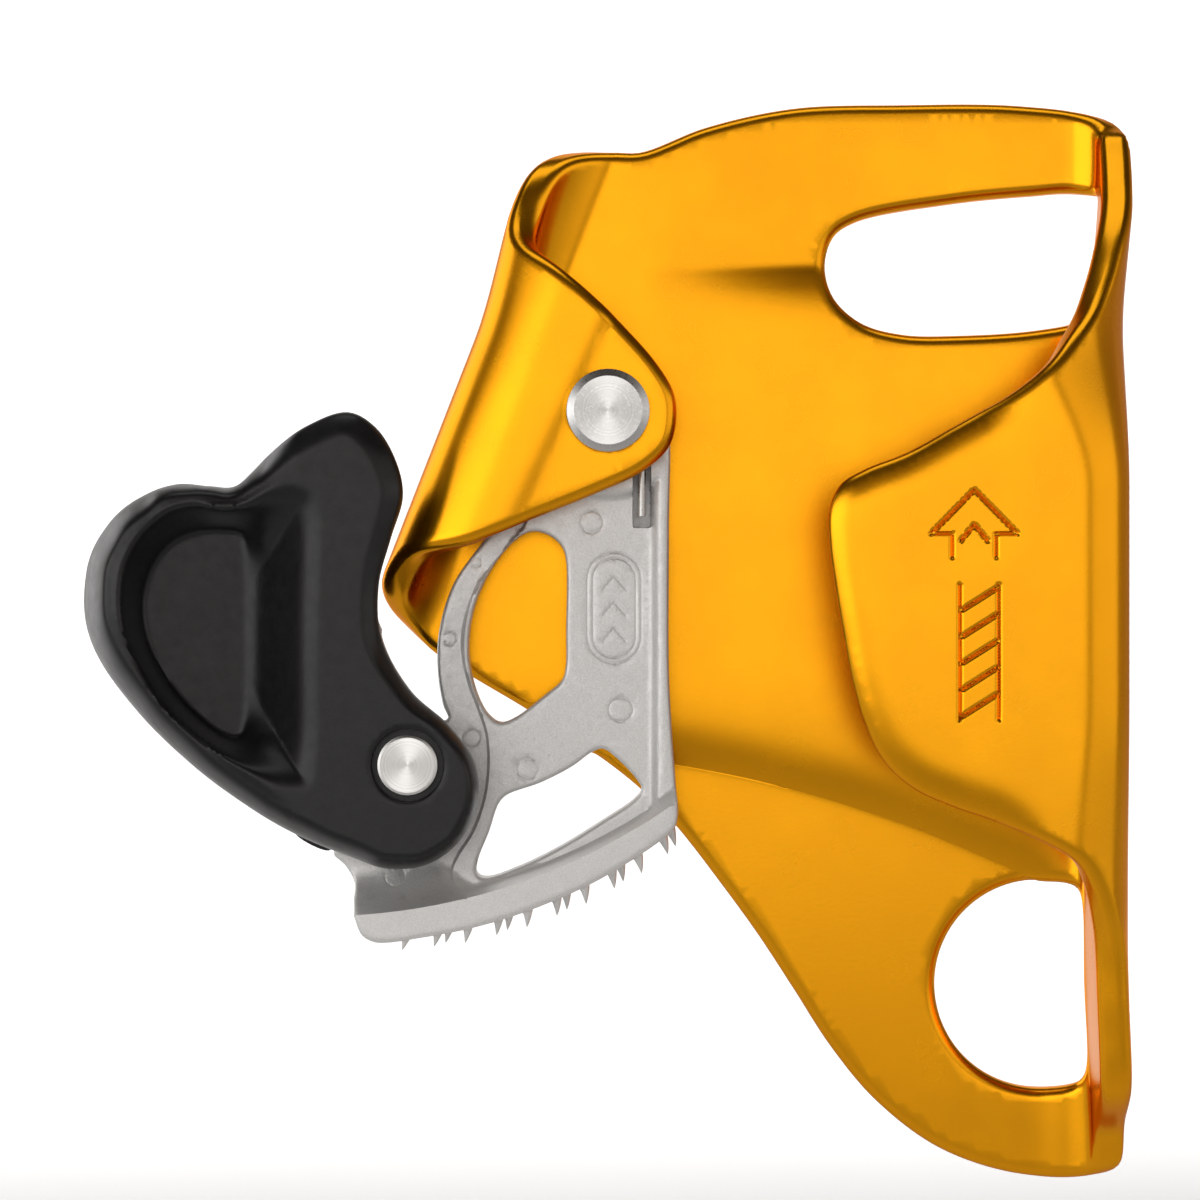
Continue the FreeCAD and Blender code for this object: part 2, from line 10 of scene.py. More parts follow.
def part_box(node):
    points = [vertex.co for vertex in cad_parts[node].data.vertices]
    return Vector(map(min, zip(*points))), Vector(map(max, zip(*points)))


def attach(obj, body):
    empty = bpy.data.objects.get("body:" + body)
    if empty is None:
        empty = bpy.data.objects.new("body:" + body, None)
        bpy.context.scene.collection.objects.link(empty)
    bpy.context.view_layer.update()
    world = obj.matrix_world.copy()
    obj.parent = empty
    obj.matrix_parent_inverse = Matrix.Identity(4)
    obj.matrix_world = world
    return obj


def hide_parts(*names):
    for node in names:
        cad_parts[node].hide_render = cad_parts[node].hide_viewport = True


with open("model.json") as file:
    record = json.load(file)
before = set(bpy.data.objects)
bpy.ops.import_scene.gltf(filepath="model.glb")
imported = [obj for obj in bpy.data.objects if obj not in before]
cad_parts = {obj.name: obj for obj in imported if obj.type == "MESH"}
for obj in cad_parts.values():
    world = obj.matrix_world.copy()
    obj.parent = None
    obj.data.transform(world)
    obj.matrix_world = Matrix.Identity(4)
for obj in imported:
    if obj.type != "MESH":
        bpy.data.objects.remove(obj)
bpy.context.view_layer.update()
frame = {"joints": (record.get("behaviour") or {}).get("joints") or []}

# Shapes are drawn in millimetres as seen from the front: across, up, and depth counted
# forward from the rear face of the back sheet.
MM = 0.001


def joint_place(name):
    """Across and up of a joint, in millimetres."""
    place = next(joint["pos_m"] for joint in frame["joints"] if joint["name"] == name)
    return place[0] / MM, place[2] / MM


def depth_span(node):
    """Rear and front depth of a CAD node, in millimetres."""
    low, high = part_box(node)
    return -high.y / MM, -low.y / MM


CAM_PIVOT = np.array(joint_place("cam_pivot"))
CATCH_PIVOT = np.array(joint_place("catch_pivot"))
CAM_BORE = 3.55
CATCH_BORE = 2.05

# Bent sheet: thickness and face, then the slanted fold, then the channel's two corners.
SHEET = 3.2
FLANGE_FACE = depth_span("frame")[1]
FLANGE_RISE = FLANGE_FACE - SHEET
FOLD_RADIUS = 5.2
FOLD_TIGHT = 4.8
FOLD_EASE = 6.0
FOLD_FOOT = np.array((-60.2, 39.3))
FOLD_LEAN = math.radians(21.3)
FOLD_ACROSS = np.array((math.cos(FOLD_LEAN), -math.sin(FOLD_LEAN)))
FOLD_ALONG = np.array((math.sin(FOLD_LEAN), math.cos(FOLD_LEAN)))
BEND_START = 2.8
CORNER_RADIUS = 3.2
CORNER_LENGTH = math.pi / 2 * CORNER_RADIUS
WEB_ACROSS = BEND_START + CORNER_RADIUS

# How far the ear is pressed in and the flange's rim curls back, the edges' radii, the cut
# of the marks, and the mesh's step on flat parts and how far beyond a bend it is finer.
EAR_SEAT = 0.28
RIM_CURL = 0.75
SHEET_ROUND = 1.05
BORE_ROUND = 0.3
MARK_DEPTH = 0.36
MARK_WIDTH = 0.25
COARSE_STEP = 1.1
BEND_MARGIN = 1.5


# --- curves and small sums ---------------------------------------------------------------

def smooth(value):
    """0 below 0, 1 above 1, easing in between."""
    share = np.clip(value, 0.0, 1.0)
    return share * share * (3 - 2 * share)


def rounded_loop(points, spacing):
    """Smooth closed curve through the points, sampled evenly."""
    points = np.asarray(points, float)
    count = len(points)
    dense = []
    for index in range(count):
        p0, p1, p2, p3 = (points[(index + k) % count] for k in (-1, 0, 1, 2))
        t1 = math.dist(p0, p1) ** 0.5
        t2 = t1 + math.dist(p1, p2) ** 0.5
        t3 = t2 + math.dist(p2, p3) ** 0.5
        for t in np.linspace(t1, t2, 24, endpoint=False):
            a1 = (t1 - t) / t1 * p0 + t / t1 * p1
            a2 = (t2 - t) / (t2 - t1) * p1 + (t - t1) / (t2 - t1) * p2
            a3 = (t3 - t) / (t3 - t2) * p2 + (t - t2) / (t3 - t2) * p3
            b1 = (t2 - t) / t2 * a1 + t / t2 * a2
            b2 = (t3 - t) / (t3 - t1) * a2 + (t - t1) / (t3 - t1) * a3
            dense.append((t2 - t) / (t2 - t1) * b1 + (t - t1) / (t2 - t1) * b2)
    return even_loop(dense, spacing)


def even_loop(points, spacing):
    """The closed line through the points, cut into even steps."""
    points = np.asarray(points, float)
    closed = np.vstack([points, points[:1]])
    steps = np.linalg.norm(np.diff(closed, axis=0), axis=1)
    travelled = np.concatenate([[0], np.cumsum(steps)])
    total = travelled[-1]
    places = np.linspace(0, total, max(12, round(total / spacing)), endpoint=False)
    return np.column_stack([np.interp(places, travelled, closed[:, k]) for k in (0, 1)])


def ring(centre, radius, spacing):
    count = max(16, round(2 * math.pi * radius / spacing))
    angles = np.linspace(0, 2 * math.pi, count, endpoint=False)
    return np.asarray(centre) + radius * np.column_stack([np.cos(angles), np.sin(angles)])


def area(loop):
    x, y = loop[:, 0], loop[:, 1]
    return 0.5 * np.sum(x * np.roll(y, -1) - np.roll(x, -1) * y)


def turned(loop, anticlockwise):
    return loop if (area(loop) > 0) == anticlockwise else loop[::-1]


def inward(loop):
    """Unit vectors towards the material, which is on the left of the loop."""
    tangent = np.roll(loop, -1, axis=0) - np.roll(loop, 1, axis=0)
    tangent /= np.linalg.norm(tangent, axis=1)[:, None]
    return np.column_stack([-tangent[:, 1], tangent[:, 0]])


def inside(points, loop):
    """Which points lie in the closed loop."""
    hit = np.zeros(len(points), bool)
    x, y = points[:, 0], points[:, 1]
    for (x0, y0), (x1, y1) in zip(loop, np.roll(loop, -1, axis=0)):
        crosses = (y0 > y) != (y1 > y)
        if y1 != y0:
            hit ^= crosses & (x < (x1 - x0) * (y - y0) / (y1 - y0) + x0)
    return hit


def distance_to(points, line, closed=True):
    """Distance from each point to the line through the given corners."""
    starts = line if closed else line[:-1]
    ends = np.roll(line, -1, axis=0) if closed else line[1:]
    best = np.full(len(points), 1e9)
    for start, end in zip(starts, ends):
        run = end - start
        length = max(float(run @ run), 1e-12)
        share = np.clip(((points - start) @ run) / length, 0, 1)
        gap = np.linalg.norm(points - start - share[:, None] * run, axis=1)
        best = np.minimum(best, gap)
    return best


def distance_to_any(points, lines):
    """Distance from each point to the nearest of several open lines."""
    return np.min([distance_to(points, line, False) for line in lines], axis=0)


def away_from(centre, points):
    return np.linalg.norm(points - centre, axis=1)


def grid(low, high, spacing):
    """Staggered points over a rectangle, so that triangles come out even."""
    rows = np.arange(low[1], high[1], spacing * 0.87)
    points = []
    for index, row in enumerate(rows):
        shift = spacing / 2 * (index % 2)
        across = np.arange(low[0] + shift, high[0], spacing)
        points.append(np.column_stack([across, np.full(len(across), row)]))
    return np.vstack(points)


def circle_through(first, middle, last):
    """Centre and radius of the circle through three points."""
    rows = 2 * np.array([np.subtract(middle, first), np.subtract(last, first)])
    sides = [np.dot(p, p) - np.dot(first, first) for p in (middle, last)]
    centre = np.linalg.solve(rows, sides)
    return centre, math.dist(centre, first)


def arc_through(ends_and_middle):
    """Centre, radius, and first and last angle of the arc through three points."""
    centre, radius = circle_through(*ends_and_middle)
    first, last = (math.atan2(*np.subtract(end, centre)[::-1]) for end in ends_and_middle[::2])
    return centre, radius, first, last


def smooth_line(points, spacing):
    """Smooth open curve through the points, sampled evenly."""
    points = np.asarray(points, float)
    ends = 2 * points[0] - points[1], 2 * points[-1] - points[-2]
    full = np.vstack([[ends[0]], points, [ends[1]]])
    dense = []
    for p0, p1, p2, p3 in zip(full, full[1:], full[2:], full[3:]):
        for t in np.linspace(0, 1, 24, endpoint=False):
            dense.append(0.5 * (2 * p1 + (p2 - p0) * t + (2 * p0 - 5 * p1 + 4 * p2 - p3) * t**2
                                + (3 * p1 - p0 - 3 * p2 + p3) * t**3))
    dense = np.array(dense + [points[-1]])
    travelled = np.concatenate([[0], np.cumsum(np.linalg.norm(np.diff(dense, axis=0), axis=1))])
    places = np.linspace(0, travelled[-1], max(3, round(travelled[-1] / spacing) + 1))
    return np.column_stack([np.interp(places, travelled, dense[:, k]) for k in (0, 1)])


def beside(line, offsets):
    """Copies of an open line, each moved sideways."""
    run = np.gradient(line, axis=0)
    run /= np.linalg.norm(run, axis=1)[:, None]
    normal = np.column_stack([-run[:, 1], run[:, 0]])
    return np.vstack([line + offset * normal for offset in offsets])


def rings(centre, radii, spacing):
    """Concentric rings of points, all in step with each other."""
    count = round(2 * math.pi * max(radii) / spacing)
    angles = np.linspace(0, 2 * math.pi, count, endpoint=False)
    unit = np.column_stack([np.cos(angles), np.sin(angles)])
    return np.vstack([np.asarray(centre) + radius * unit for radius in radii])


def mixed(features, ground, gap):
    """Feature points, and those of the ground grid that keep clear of them."""
    taken = {}
    kept = []
    for point in np.vstack(features):
        cell = tuple(np.floor(point / 0.05).astype(int))
        if cell not in taken:
            taken[cell] = True
            kept.append(point)
    kept = np.array(kept)
    cells = set()
    for dx in (-gap, 0, gap):
        for dy in (-gap, 0, gap):
            cells |= set(map(tuple, np.floor((kept + (dx, dy)) / gap).astype(int)))
    free = [tuple(cell) not in cells for cell in np.floor(ground / gap).astype(int)]
    return np.vstack([kept, ground[np.array(free)]])


# --- solids with a front and a rear surface ----------------------------------------------

def make_solid(name, outer, holes, surface, points, edges, edge_steps=4):
    """Closed mesh between a front and a rear surface, with a rounded edge all round.

    surface(points, side, sink) gives across, up and depth of the front (side 1) or rear
    (side -1) surface, sunk by that much into the solid. edges are the radii to which the
    outline's and each hole's edges are rounded."""
    loops = [turned(outer, True)] + [turned(hole, False) for hole in holes]
    normals = [inward(loop) for loop in loops]
    borders = [loop + normal * edge for loop, normal, edge in zip(loops, normals, edges)]
    keep = inside(points, borders[0])
    gap = distance_to(points, borders[0])
    for border in borders[1:]:
        keep &= ~inside(points, border)
        gap = np.minimum(gap, distance_to(points, border))
    points = points[keep & (gap > 0.14)]
    starts = np.cumsum([0] + [len(border) for border in borders])
    flat = np.vstack(borders + [points])
    chains = []
    for start, border in zip(starts, borders):
        count = len(border)
        chains += [(int(start + k), int(start + (k + 1) % count)) for k in range(count)]
    found = geometry.delaunay_2d_cdt([Vector(p) for p in flat], chains, [], 0, 1e-7)
    flat = np.array([tuple(v) for v in found[0]])
    order = {}
    for new, sources in enumerate(found[3]):
        for source in sources:
            order[source] = new
    triangles = np.array(found[2])
    centres = flat[triangles].mean(axis=1)
    keep = inside(centres, borders[0])
    for border in borders[1:]:
        keep &= ~inside(centres, border)
    triangles = triangles[keep]
    corners = flat[triangles]
    side_a, side_b = corners[:, 1] - corners[:, 0], corners[:, 2] - corners[:, 0]
    clockwise = side_a[:, 0] * side_b[:, 1] - side_a[:, 1] * side_b[:, 0] < 0
    triangles[clockwise] = triangles[clockwise][:, ::-1]

    vertices = [surface(flat, 1, 0.0), surface(flat, -1, 0.0)]
    faces = [tuple(t) for t in triangles] + [tuple(t[::-1] + len(flat)) for t in triangles]
    total = 2 * len(flat)
    angles = np.linspace(0, math.pi / 2, edge_steps + 1)[1:]
    for start, loop, normal, edge in zip(starts, loops, normals, edges):
        count = len(loop)
        front_ring = [order[int(start + k)] for k in range(count)]
        rings = [front_ring]
        for side in (1, -1):
            for angle in angles if side == 1 else angles[::-1]:
                place = loop + normal * edge * (1 - math.sin(angle))
                vertices.append(surface(place, side, edge * (1 - math.cos(angle))))
                rings.append(list(range(total, total + count)))
                total += count
        rings.append([v + len(flat) for v in front_ring])
        for above, below in zip(rings, rings[1:]):
            for k in range(count):
                following = (k + 1) % count
                faces.append((above[k], below[k], below[following], above[following]))
    return make_object(name, np.vstack(vertices), faces)


def make_object(name, places, faces, crease=50):
    """Smooth mesh from across, up and depth in millimetres, sharp above a crease angle."""
    mesh = bpy.data.meshes.new(name)
    mesh.from_pydata([(x * MM, -depth * MM, up * MM) for x, up, depth in places], [], faces)
    mesh.update()
    loose = set(range(len(mesh.vertices))) - {v for face in mesh.polygons for v in face.vertices}
    if loose:
        cut = bmesh.new()
        cut.from_mesh(mesh)
        cut.verts.ensure_lookup_table()
        for vertex in [cut.verts[k] for k in loose]:
            cut.verts.remove(vertex)
        cut.to_mesh(mesh)
        cut.free()
    mesh.polygons.foreach_set("use_smooth", [True] * len(mesh.polygons))
    mesh.set_sharp_from_angle(angle=math.radians(crease))
    item = bpy.data.objects.new(name, mesh)
    bpy.context.scene.collection.objects.link(item)
    return item


# --- bent sheet frame --------------------------------------------------------------------

def fold_section():
    """Turn, reach and depth of the fold's middle against the length of sheet it takes up.

    The sheet turns evenly round the back, tighter in front, and eases into the ear."""
    length = np.linspace(0, 60, 6001)
    quarter = FOLD_RADIUS * math.pi / 2
    front = quarter + FOLD_TIGHT * math.pi / 3
    easing = 1 - np.clip((length - front) / FOLD_EASE, 0, 1)
    turn = np.where(length < quarter, length / FOLD_RADIUS,
                    math.pi / 2 + (length - quarter) / FOLD_TIGHT)
    turn = np.where(length > front, math.pi - math.pi / 6 * easing**2, turn)
    step = length[1]
    reach = np.concatenate([[0], np.cumsum(-np.cos((turn[1:] + turn[:-1]) / 2) * step)])
    rise = np.concatenate([[0], np.cumsum(np.sin((turn[1:] + turn[:-1]) / 2) * step)])
    return length, turn, reach, rise


FOLD_LENGTH, FOLD_TURN, FOLD_REACH, FOLD_RISE = fold_section()
FOLD_HALF = int(np.argmin(FOLD_REACH))
EAR_START = FOLD_RADIUS * math.pi / 2 + FOLD_TIGHT * math.pi / 3 + FOLD_EASE


def on_ear(across, up):
    """Place on the flat sheet of a point that the bent ear shows in front."""
    offset = np.array((across, up)) - FOLD_FOOT
    reach, run = offset @ FOLD_ACROSS, offset @ FOLD_ALONG
    taken = np.interp(reach, FOLD_REACH[FOLD_HALF:], FOLD_LENGTH[FOLD_HALF:])
    return FOLD_FOOT - FOLD_ACROSS * taken + FOLD_ALONG * run


def on_fold(degrees, run):
    taken = np.interp(math.radians(degrees), FOLD_TURN, FOLD_LENGTH)
    taken += min(degrees, 0) * math.radians(FOLD_RADIUS)
    return FOLD_FOOT - FOLD_ACROSS * taken + FOLD_ALONG * run


def on_rear_corner(degrees, up):
    return np.array((BEND_START + CORNER_RADIUS * math.radians(degrees), up))


def on_web(depth, up):
    start = SHEET / 2 + CORNER_RADIUS
    return np.array((BEND_START + CORNER_LENGTH + depth - start, up))


def front_radius(up):
    """The front corner is bent wider towards both ends of the flange."""
    return CORNER_RADIUS + 7.0 * smooth((up - 50) / 20) + 1.4 * smooth((30 - up) / 20)


def web_length(up):
    return FLANGE_RISE - CORNER_RADIUS - front_radius(up)


def flange_start(up):
    """Length of sheet from the end of the flat back to the start of the flange."""
    return CORNER_LENGTH + web_length(up) + front_radius(up) * math.pi / 2


def on_front_corner(degrees, up):
    """Place on the front corner, which has turned that far away from the flange."""
    turn = front_radius(up) * math.radians(90 - degrees)
    return np.array((BEND_START + CORNER_LENGTH + web_length(up) + turn, up))


def on_front(across, up):
    """Place seen from the front on the flange, or on the corner beside it."""
    radius = front_radius(up)
    past = across - (WEB_ACROSS - radius)
    if past > 0:
        return on_front_corner(math.degrees(math.asin(past / (radius + SHEET / 2))), up)
    return on_front_corner(0, up) - (past, 0)


def sheet_edge():
    """Edge of the unbent sheet, in order: back, foot, web, flange, web, top, fold, ear, fold."""
    return [
        (-61.7, 33.9), (-57.9, 31.4), (-52.0, 27.9), (-45.1, 23.4), (-40.3, 19.6),
        (-36.8, 15.9), (-32.3, 10.1), (-28.6, 5.0), (-25.0, -0.5), (-21.2, -6.4),
        (-16.6, -11.9), (-10.2, -16.7), (-2.5, -19.3),
        on_rear_corner(30, -19.5), on_web(4.6, -18.2), on_web(6.2, -14.8),
        on_front_corner(87, -9.6), on_front(7.2, -2.9), on_front(6.7, 4.1), on_front(5.4, 7.9),
        on_front(3.8, 11.2), on_front(1.9, 13.5), on_front(-1.5, 15.5), on_front(-5.8, 17.5),
        on_front(-10.1, 19.0), on_front(-13.8, 20.7), on_front(-16.6, 23.2),
        on_front(-18.6, 26.9), on_front(-19.8, 30.8), on_front(-20.7, 35.4),
        on_front(-21.5, 40.1), on_front(-22.1, 44.6), on_front(-22.1, 47.9),
        on_front(-21.0, 50.3), on_front(-18.6, 51.8), on_front(-14.6, 53.4),
        on_front(-10.5, 55.7), on_front(-4.6, 59.2), on_front(-1.0, 62.0), on_front(2.0, 65.2),
        on_front(4.4, 68.4), on_front(5.9, 71.9), on_front(6.9, 75.8),
        on_front_corner(86, 80.0), on_web(6.6, 83.8), on_web(4.6, 86.6),
        on_rear_corner(45, 88.4), (-2.0, 89.5), (-14.0, 89.6),
        (-25.0, 89.2), (-34.0, 87.2),
        on_fold(-20, 49.4), on_fold(8, 48.4), on_fold(32, 47.4), on_fold(56, 45.9),
        on_fold(74, 44.1), on_fold(87, 41.8), on_fold(97, 39.4), on_fold(112, 37.2),
        on_fold(132, 35.9), on_fold(150, 35.4),
        on_ear(-48.5, 72.1), on_ear(-45.3, 69.3), on_ear(-42.1, 66.1), on_ear(-39.2, 62.8),
        on_ear(-37.4, 59.8), on_ear(-37.1, 57.2), on_ear(-37.8, 54.4), on_ear(-40.3, 52.0),
        on_ear(-44.7, 49.9), on_ear(-49.1, 48.1), on_ear(-53.4, 46.4), on_ear(-57.8, 44.6),
        on_fold(137, 2.9), on_fold(112, 0.7), on_fold(90, -1.2), on_fold(60, -2.9),
        on_fold(30, -4.2),
    ]


UPPER_HOLE = (
    (-18.5, 77.7), (-9.0, 79.5), (-1.0, 80.3), (4.0, 80.5), (7.4, 79.3), (8.2, 76.4),
    (8.2, 71.8), (7.3, 69.2), (4.4, 67.5), (-0.5, 66.5), (-8.0, 66.0), (-14.0, 66.1),
    (-18.2, 67.3), (-21.0, 69.9), (-21.8, 73.1), (-20.9, 76.1),
)


def lower_hole():
    """Round, but for its right side, which is cut off beside the web."""
    radius, side = 10.6, 5.6
    opening = math.radians(66)
    angles = np.linspace(opening, 2 * math.pi - opening, 13)
    arc = [(radius * math.cos(a), radius * math.sin(a)) for a in angles]
    return arc + [(side, -7.2), (side, 0.0), (side, 7.2)]


def upper_crease(across):
    return 72.6 + 0.008 * (across + 30)


def lower_crease(across):
    return 15.2 - 0.40 * (across + 10) - 0.0045 * (across + 10) ** 2


def crease_lines(points):
    """How far points lie past the upper and the lower crease, away from the channel."""
    across, up = points[:, 0], points[:, 1]
    return up - upper_crease(across), lower_crease(across) - up


def crease(points):
    """How far the two lobes are pressed back from the channel's sheet."""
    above, below = crease_lines(points)
    x = points[:, 0]
    top = smooth((x + 45) / 31) * smooth((12 - x) / 6)
    foot = smooth((4 - x) / 5)
    depth = np.zeros(len(points))
    for past, weight, fade, turn in ((above, top, 2.3, 0.7), (below, foot, 1.7, 0.3)):
        eased = np.exp(-(np.sqrt(past**2 + turn**2) - past) / 2 / fade)
        depth -= weight * 0.5 * fade * eased
    return depth


def bend(points):
    """Across, up and depth of the middle of the bent sheet, before it is pressed."""
    points = np.asarray(points, float)
    offset = points - FOLD_FOOT
    reach, run = offset @ FOLD_ACROSS, offset @ FOLD_ALONG
    over = points[:, 0] - BEND_START
    across, up = points[:, 0].copy(), points[:, 1].copy()
    depth = np.full(len(points), SHEET / 2)

    left = reach < 0
    turn = np.interp(-reach, FOLD_LENGTH, FOLD_TURN)
    bulge = 1.6 * smooth((run - 25) / 18) * np.sin(turn) ** 2
    new_reach = np.interp(-reach, FOLD_LENGTH, FOLD_REACH) - bulge
    bent = FOLD_FOOT + new_reach[:, None] * FOLD_ACROSS + run[:, None] * FOLD_ALONG
    across = np.where(left, bent[:, 0], across)
    up = np.where(left, bent[:, 1], up)
    depth = np.where(left, SHEET / 2 + np.interp(-reach, FOLD_LENGTH, FOLD_RISE), depth)

    right = over > 0
    first = np.clip(over / CORNER_RADIUS, 0, math.pi / 2)
    radius, web = front_radius(up), web_length(up)
    straight = np.clip(over - CORNER_LENGTH, 0, web)
    second = np.clip((over - CORNER_LENGTH - web) / radius, 0, math.pi / 2)
    beyond = np.maximum(over - CORNER_LENGTH - web - radius * math.pi / 2, 0)
    reach_x = CORNER_RADIUS * np.sin(first) - radius * (1 - np.cos(second)) - beyond
    flare = 1.35 * smooth((up - 64) / 20) + 0.8 * smooth((6 - up) / 26)
    leaning = smooth(over / CORNER_LENGTH) * (1 - smooth(second * 2 / math.pi))
    across = np.where(right, BEND_START + reach_x + flare * leaning, across)
    rise = CORNER_RADIUS * (1 - np.cos(first)) + radius * np.sin(second) + straight
    depth = np.where(right, SHEET / 2 + rise, depth)
    return np.column_stack([across, up, depth])


def sheet_middle(points, edge):
    """Middle of the finished sheet: bent, pressed, and curled back at the flange's rim."""
    places = bend(points)
    offset = points - FOLD_FOOT
    reach, run = offset @ FOLD_ACROSS, offset @ FOLD_ALONG
    over = points[:, 0] - BEND_START
    back = (reach > 0) & (over < CORNER_LENGTH)
    places[:, 2] += np.where(back, crease(points) * smooth(reach / 6), 0)
    # The ear is seated a little deeper beyond a shallow valley beside the fold.
    front = (places[:, :2] - FOLD_FOOT) @ FOLD_ACROSS
    valley = front - 3.6 - 0.055 * (run - 12)
    seat = EAR_SEAT * smooth((valley + 1.3) / 2.6)
    places[:, 2] -= np.where(-reach > EAR_START - FOLD_EASE, seat, 0)
    places[:, 2] -= rim_curl(points, edge)
    return places


def rim_curl(points, edge):
    """The flange curls back a little along its free edge."""
    past = points[:, 0] - BEND_START - flange_start(points[:, 1])
    near = distance_to(points, edge)
    return RIM_CURL * smooth((past - 1.5) / 7) * np.exp(-((near / 1.3) ** 1.5))


def zones(points):
    """Which points of the flat sheet lie on a bend, and which near a crease of its back."""
    reach, over = (points - FOLD_FOOT) @ FOLD_ACROSS, points[:, 0] - BEND_START
    ear_end = -EAR_START - BEND_MARGIN
    on_bend = (reach < BEND_MARGIN) & (reach > ear_end)
    on_bend |= (over > -BEND_MARGIN) & (over < flange_start(points[:, 1]) + BEND_MARGIN)
    back = (reach > BEND_MARGIN) & (over < -BEND_MARGIN)
    creased = np.any([(past > -5) & (past < 1.5) for past in crease_lines(points)], axis=0)
    return on_bend, back & creased


def make_frame():
    edge = turned(rounded_loop(sheet_edge(), 0.7), True)
    holes = [
        rounded_loop(UPPER_HOLE, 0.6),
        rounded_loop(lower_hole(), 0.6),
        ring(CAM_PIVOT, CAM_BORE, 0.5),
        ring(on_ear(*CAM_PIVOT), CAM_BORE, 0.5),
    ]
    # The mesh is fine on the bends, along the creases and near the flange's free rim.
    low, high = edge.min(axis=0), edge.max(axis=0)
    coarse = grid(low, high, COARSE_STEP)
    on_bend, creased = zones(coarse)
    over = coarse[:, 0] - BEND_START
    coarse = coarse[~on_bend & ~creased & ((over < 0) | (distance_to(coarse, edge) > 4.2))]
    fine = grid(low, high, COARSE_STEP / 2)
    on_bend, creased = zones(fine)
    flange_rim = (fine[:, 0] - BEND_START > 12) & (distance_to(fine, edge) < 4.4)
    fine = fine[on_bend | creased | flange_rim]

    # It is finest along the engraved marks.
    marks = arrow_mark() + rope_mark()
    window_low = np.min([np.min(line, axis=0) for line in marks], axis=0) - 0.5
    window_high = np.max([np.max(line, axis=0) for line in marks], axis=0) + 0.5
    engraved = grid(window_low, window_high, 0.17)
    engraved = engraved[distance_to_any(engraved, marks) < 0.7]

    def clear(some):
        in_window = np.all((some > window_low) & (some < window_high), axis=1)
        return some[~(in_window & (distance_to_any(some, marks) < 0.75))]

    across = np.arange(-60.0, 4.0, 0.45)
    creases = [np.column_stack([across, line(across) + off])
               for line in (upper_crease, lower_crease)
               for off in (-1.0, -0.7, -0.45, -0.22, 0.0, 0.22, 0.45, 0.7, 1.0)]
    ground = np.vstack([clear(coarse), clear(fine)])
    points = np.vstack([mixed(creases, ground, 0.3), engraved])

    def surface(flat, side, sink):
        middle, right, higher = (sheet_middle(flat + shift, edge)
                                 for shift in ((0, 0), (0.02, 0), (0, 0.02)))
        normal = np.cross(right - middle, higher - middle)
        normal /= np.linalg.norm(normal, axis=1)[:, None]
        cut = np.zeros(len(flat))
        if side == -1:
            cut = MARK_DEPTH * (1 - smooth(distance_to_any(flat, marks) / MARK_WIDTH))
        return middle + normal * (side * (SHEET / 2 - sink - cut))[:, None]

    edges = (SHEET_ROUND,) * 3 + (BORE_ROUND,) * 2
    return make_solid("frame_sheet", edge, holes, surface, points, edges, 5)


def mark(points):
    return np.array([on_front(*point) for point in points])


def arrow_mark():
    """Outline arrow, pointing up the rope, with a small chevron in it."""
    tip, shoulder, foot = 49.9, 45.6, 43.3
    middle, half, stem = -8.1, 4.2, 2.15
    left = [(middle - stem, foot), (middle - stem, shoulder), (middle - half, shoulder)]
    right = [(2 * middle - across, up) for across, up in reversed(left)]
    outline = left + [(middle, tip)] + right
    chevron = [(middle - 1.3, 44.9), (middle, 46.5), (middle + 1.3, 44.9)]
    return [mark(outline), mark(chevron)]


def rope_mark():
    """Plain sign of a laid rope: two long sides and slanted strands."""
    middle, half, top, foot = -7.6, 1.9, 40.6, 27.4
    lines = [mark([(middle + side * half, foot), (middle + side * half, top)]) for side in (-1, 1)]
    for up in np.arange(foot + 0.2, top - 2.4, 2.6):
        lines.append(mark([(middle - half, up), (middle + half, up + 2.4)]))
    return lines


# --- catch -------------------------------------------------------------------------------

CATCH_REAR, CATCH_FACE = depth_span("catch")
CATCH_HORN_REAR = 13.9
CATCH_LOBE_REAR = 11.5
HORN_SWEEP = 30.4
LOBE_SWEEP = 12.7
RECESS_RADIUS = 3.56
RECESS_DEPTH = 1.25
STOP_REAR, STOP_FACE = 10.2, 11.3

# Outline of the catch, and how wide its slanted flank is there.
CATCH_EDGE = (
    (-69.6, 57.7, 2.4), (-66.9, 56.2, 2.7), (-64.9, 52.9, 2.4), (-64.2, 49.4, 2.2),
    (-65.4, 45.2, 1.9), (-66.6, 40.6, 1.7), (-66.3, 35.2, 1.6), (-63.5, 30.1, 1.3),
    (-59.8, 26.7, 1.0), (-57.3, 23.2, 0.9), (-56.8, 19.8, 0.9), (-58.3, 15.6, 1.0),
    (-61.5, 13.0, 1.2), (-65.4, 12.35, 1.5), (-69.6, 13.6, 1.8), (-75.6, 16.1, 2.0),
    (-82.2, 20.2, 2.3), (-88.0, 25.0, 2.6), (-92.9, 30.4, 3.0), (-95.6, 34.9, 3.3),
    (-96.35, 39.4, 3.4), (-95.2, 44.6, 3.1), (-91.6, 48.7, 2.5), (-86.8, 50.6, 1.5),
    (-83.4, 50.4, 1.1), (-80.9, 50.4, 1.3), (-77.8, 53.4, 2.2), (-73.6, 56.4, 2.5),
)
THUMB_RIM = (
    (-72.6, 49.4), (-74.6, 50.6), (-77.4, 50.0), (-80.0, 48.6), (-82.2, 48.3), (-84.6, 48.9),
    (-87.4, 48.4), (-90.3, 46.0), (-91.9, 43.0), (-92.4, 39.4), (-92.0, 35.8), (-90.4, 32.2),
    (-87.8, 28.4), (-84.0, 25.0), (-79.0, 21.8), (-75.6, 20.4), (-73.2, 20.6), (-72.5, 23.4),
    (-72.4, 36.0),
)
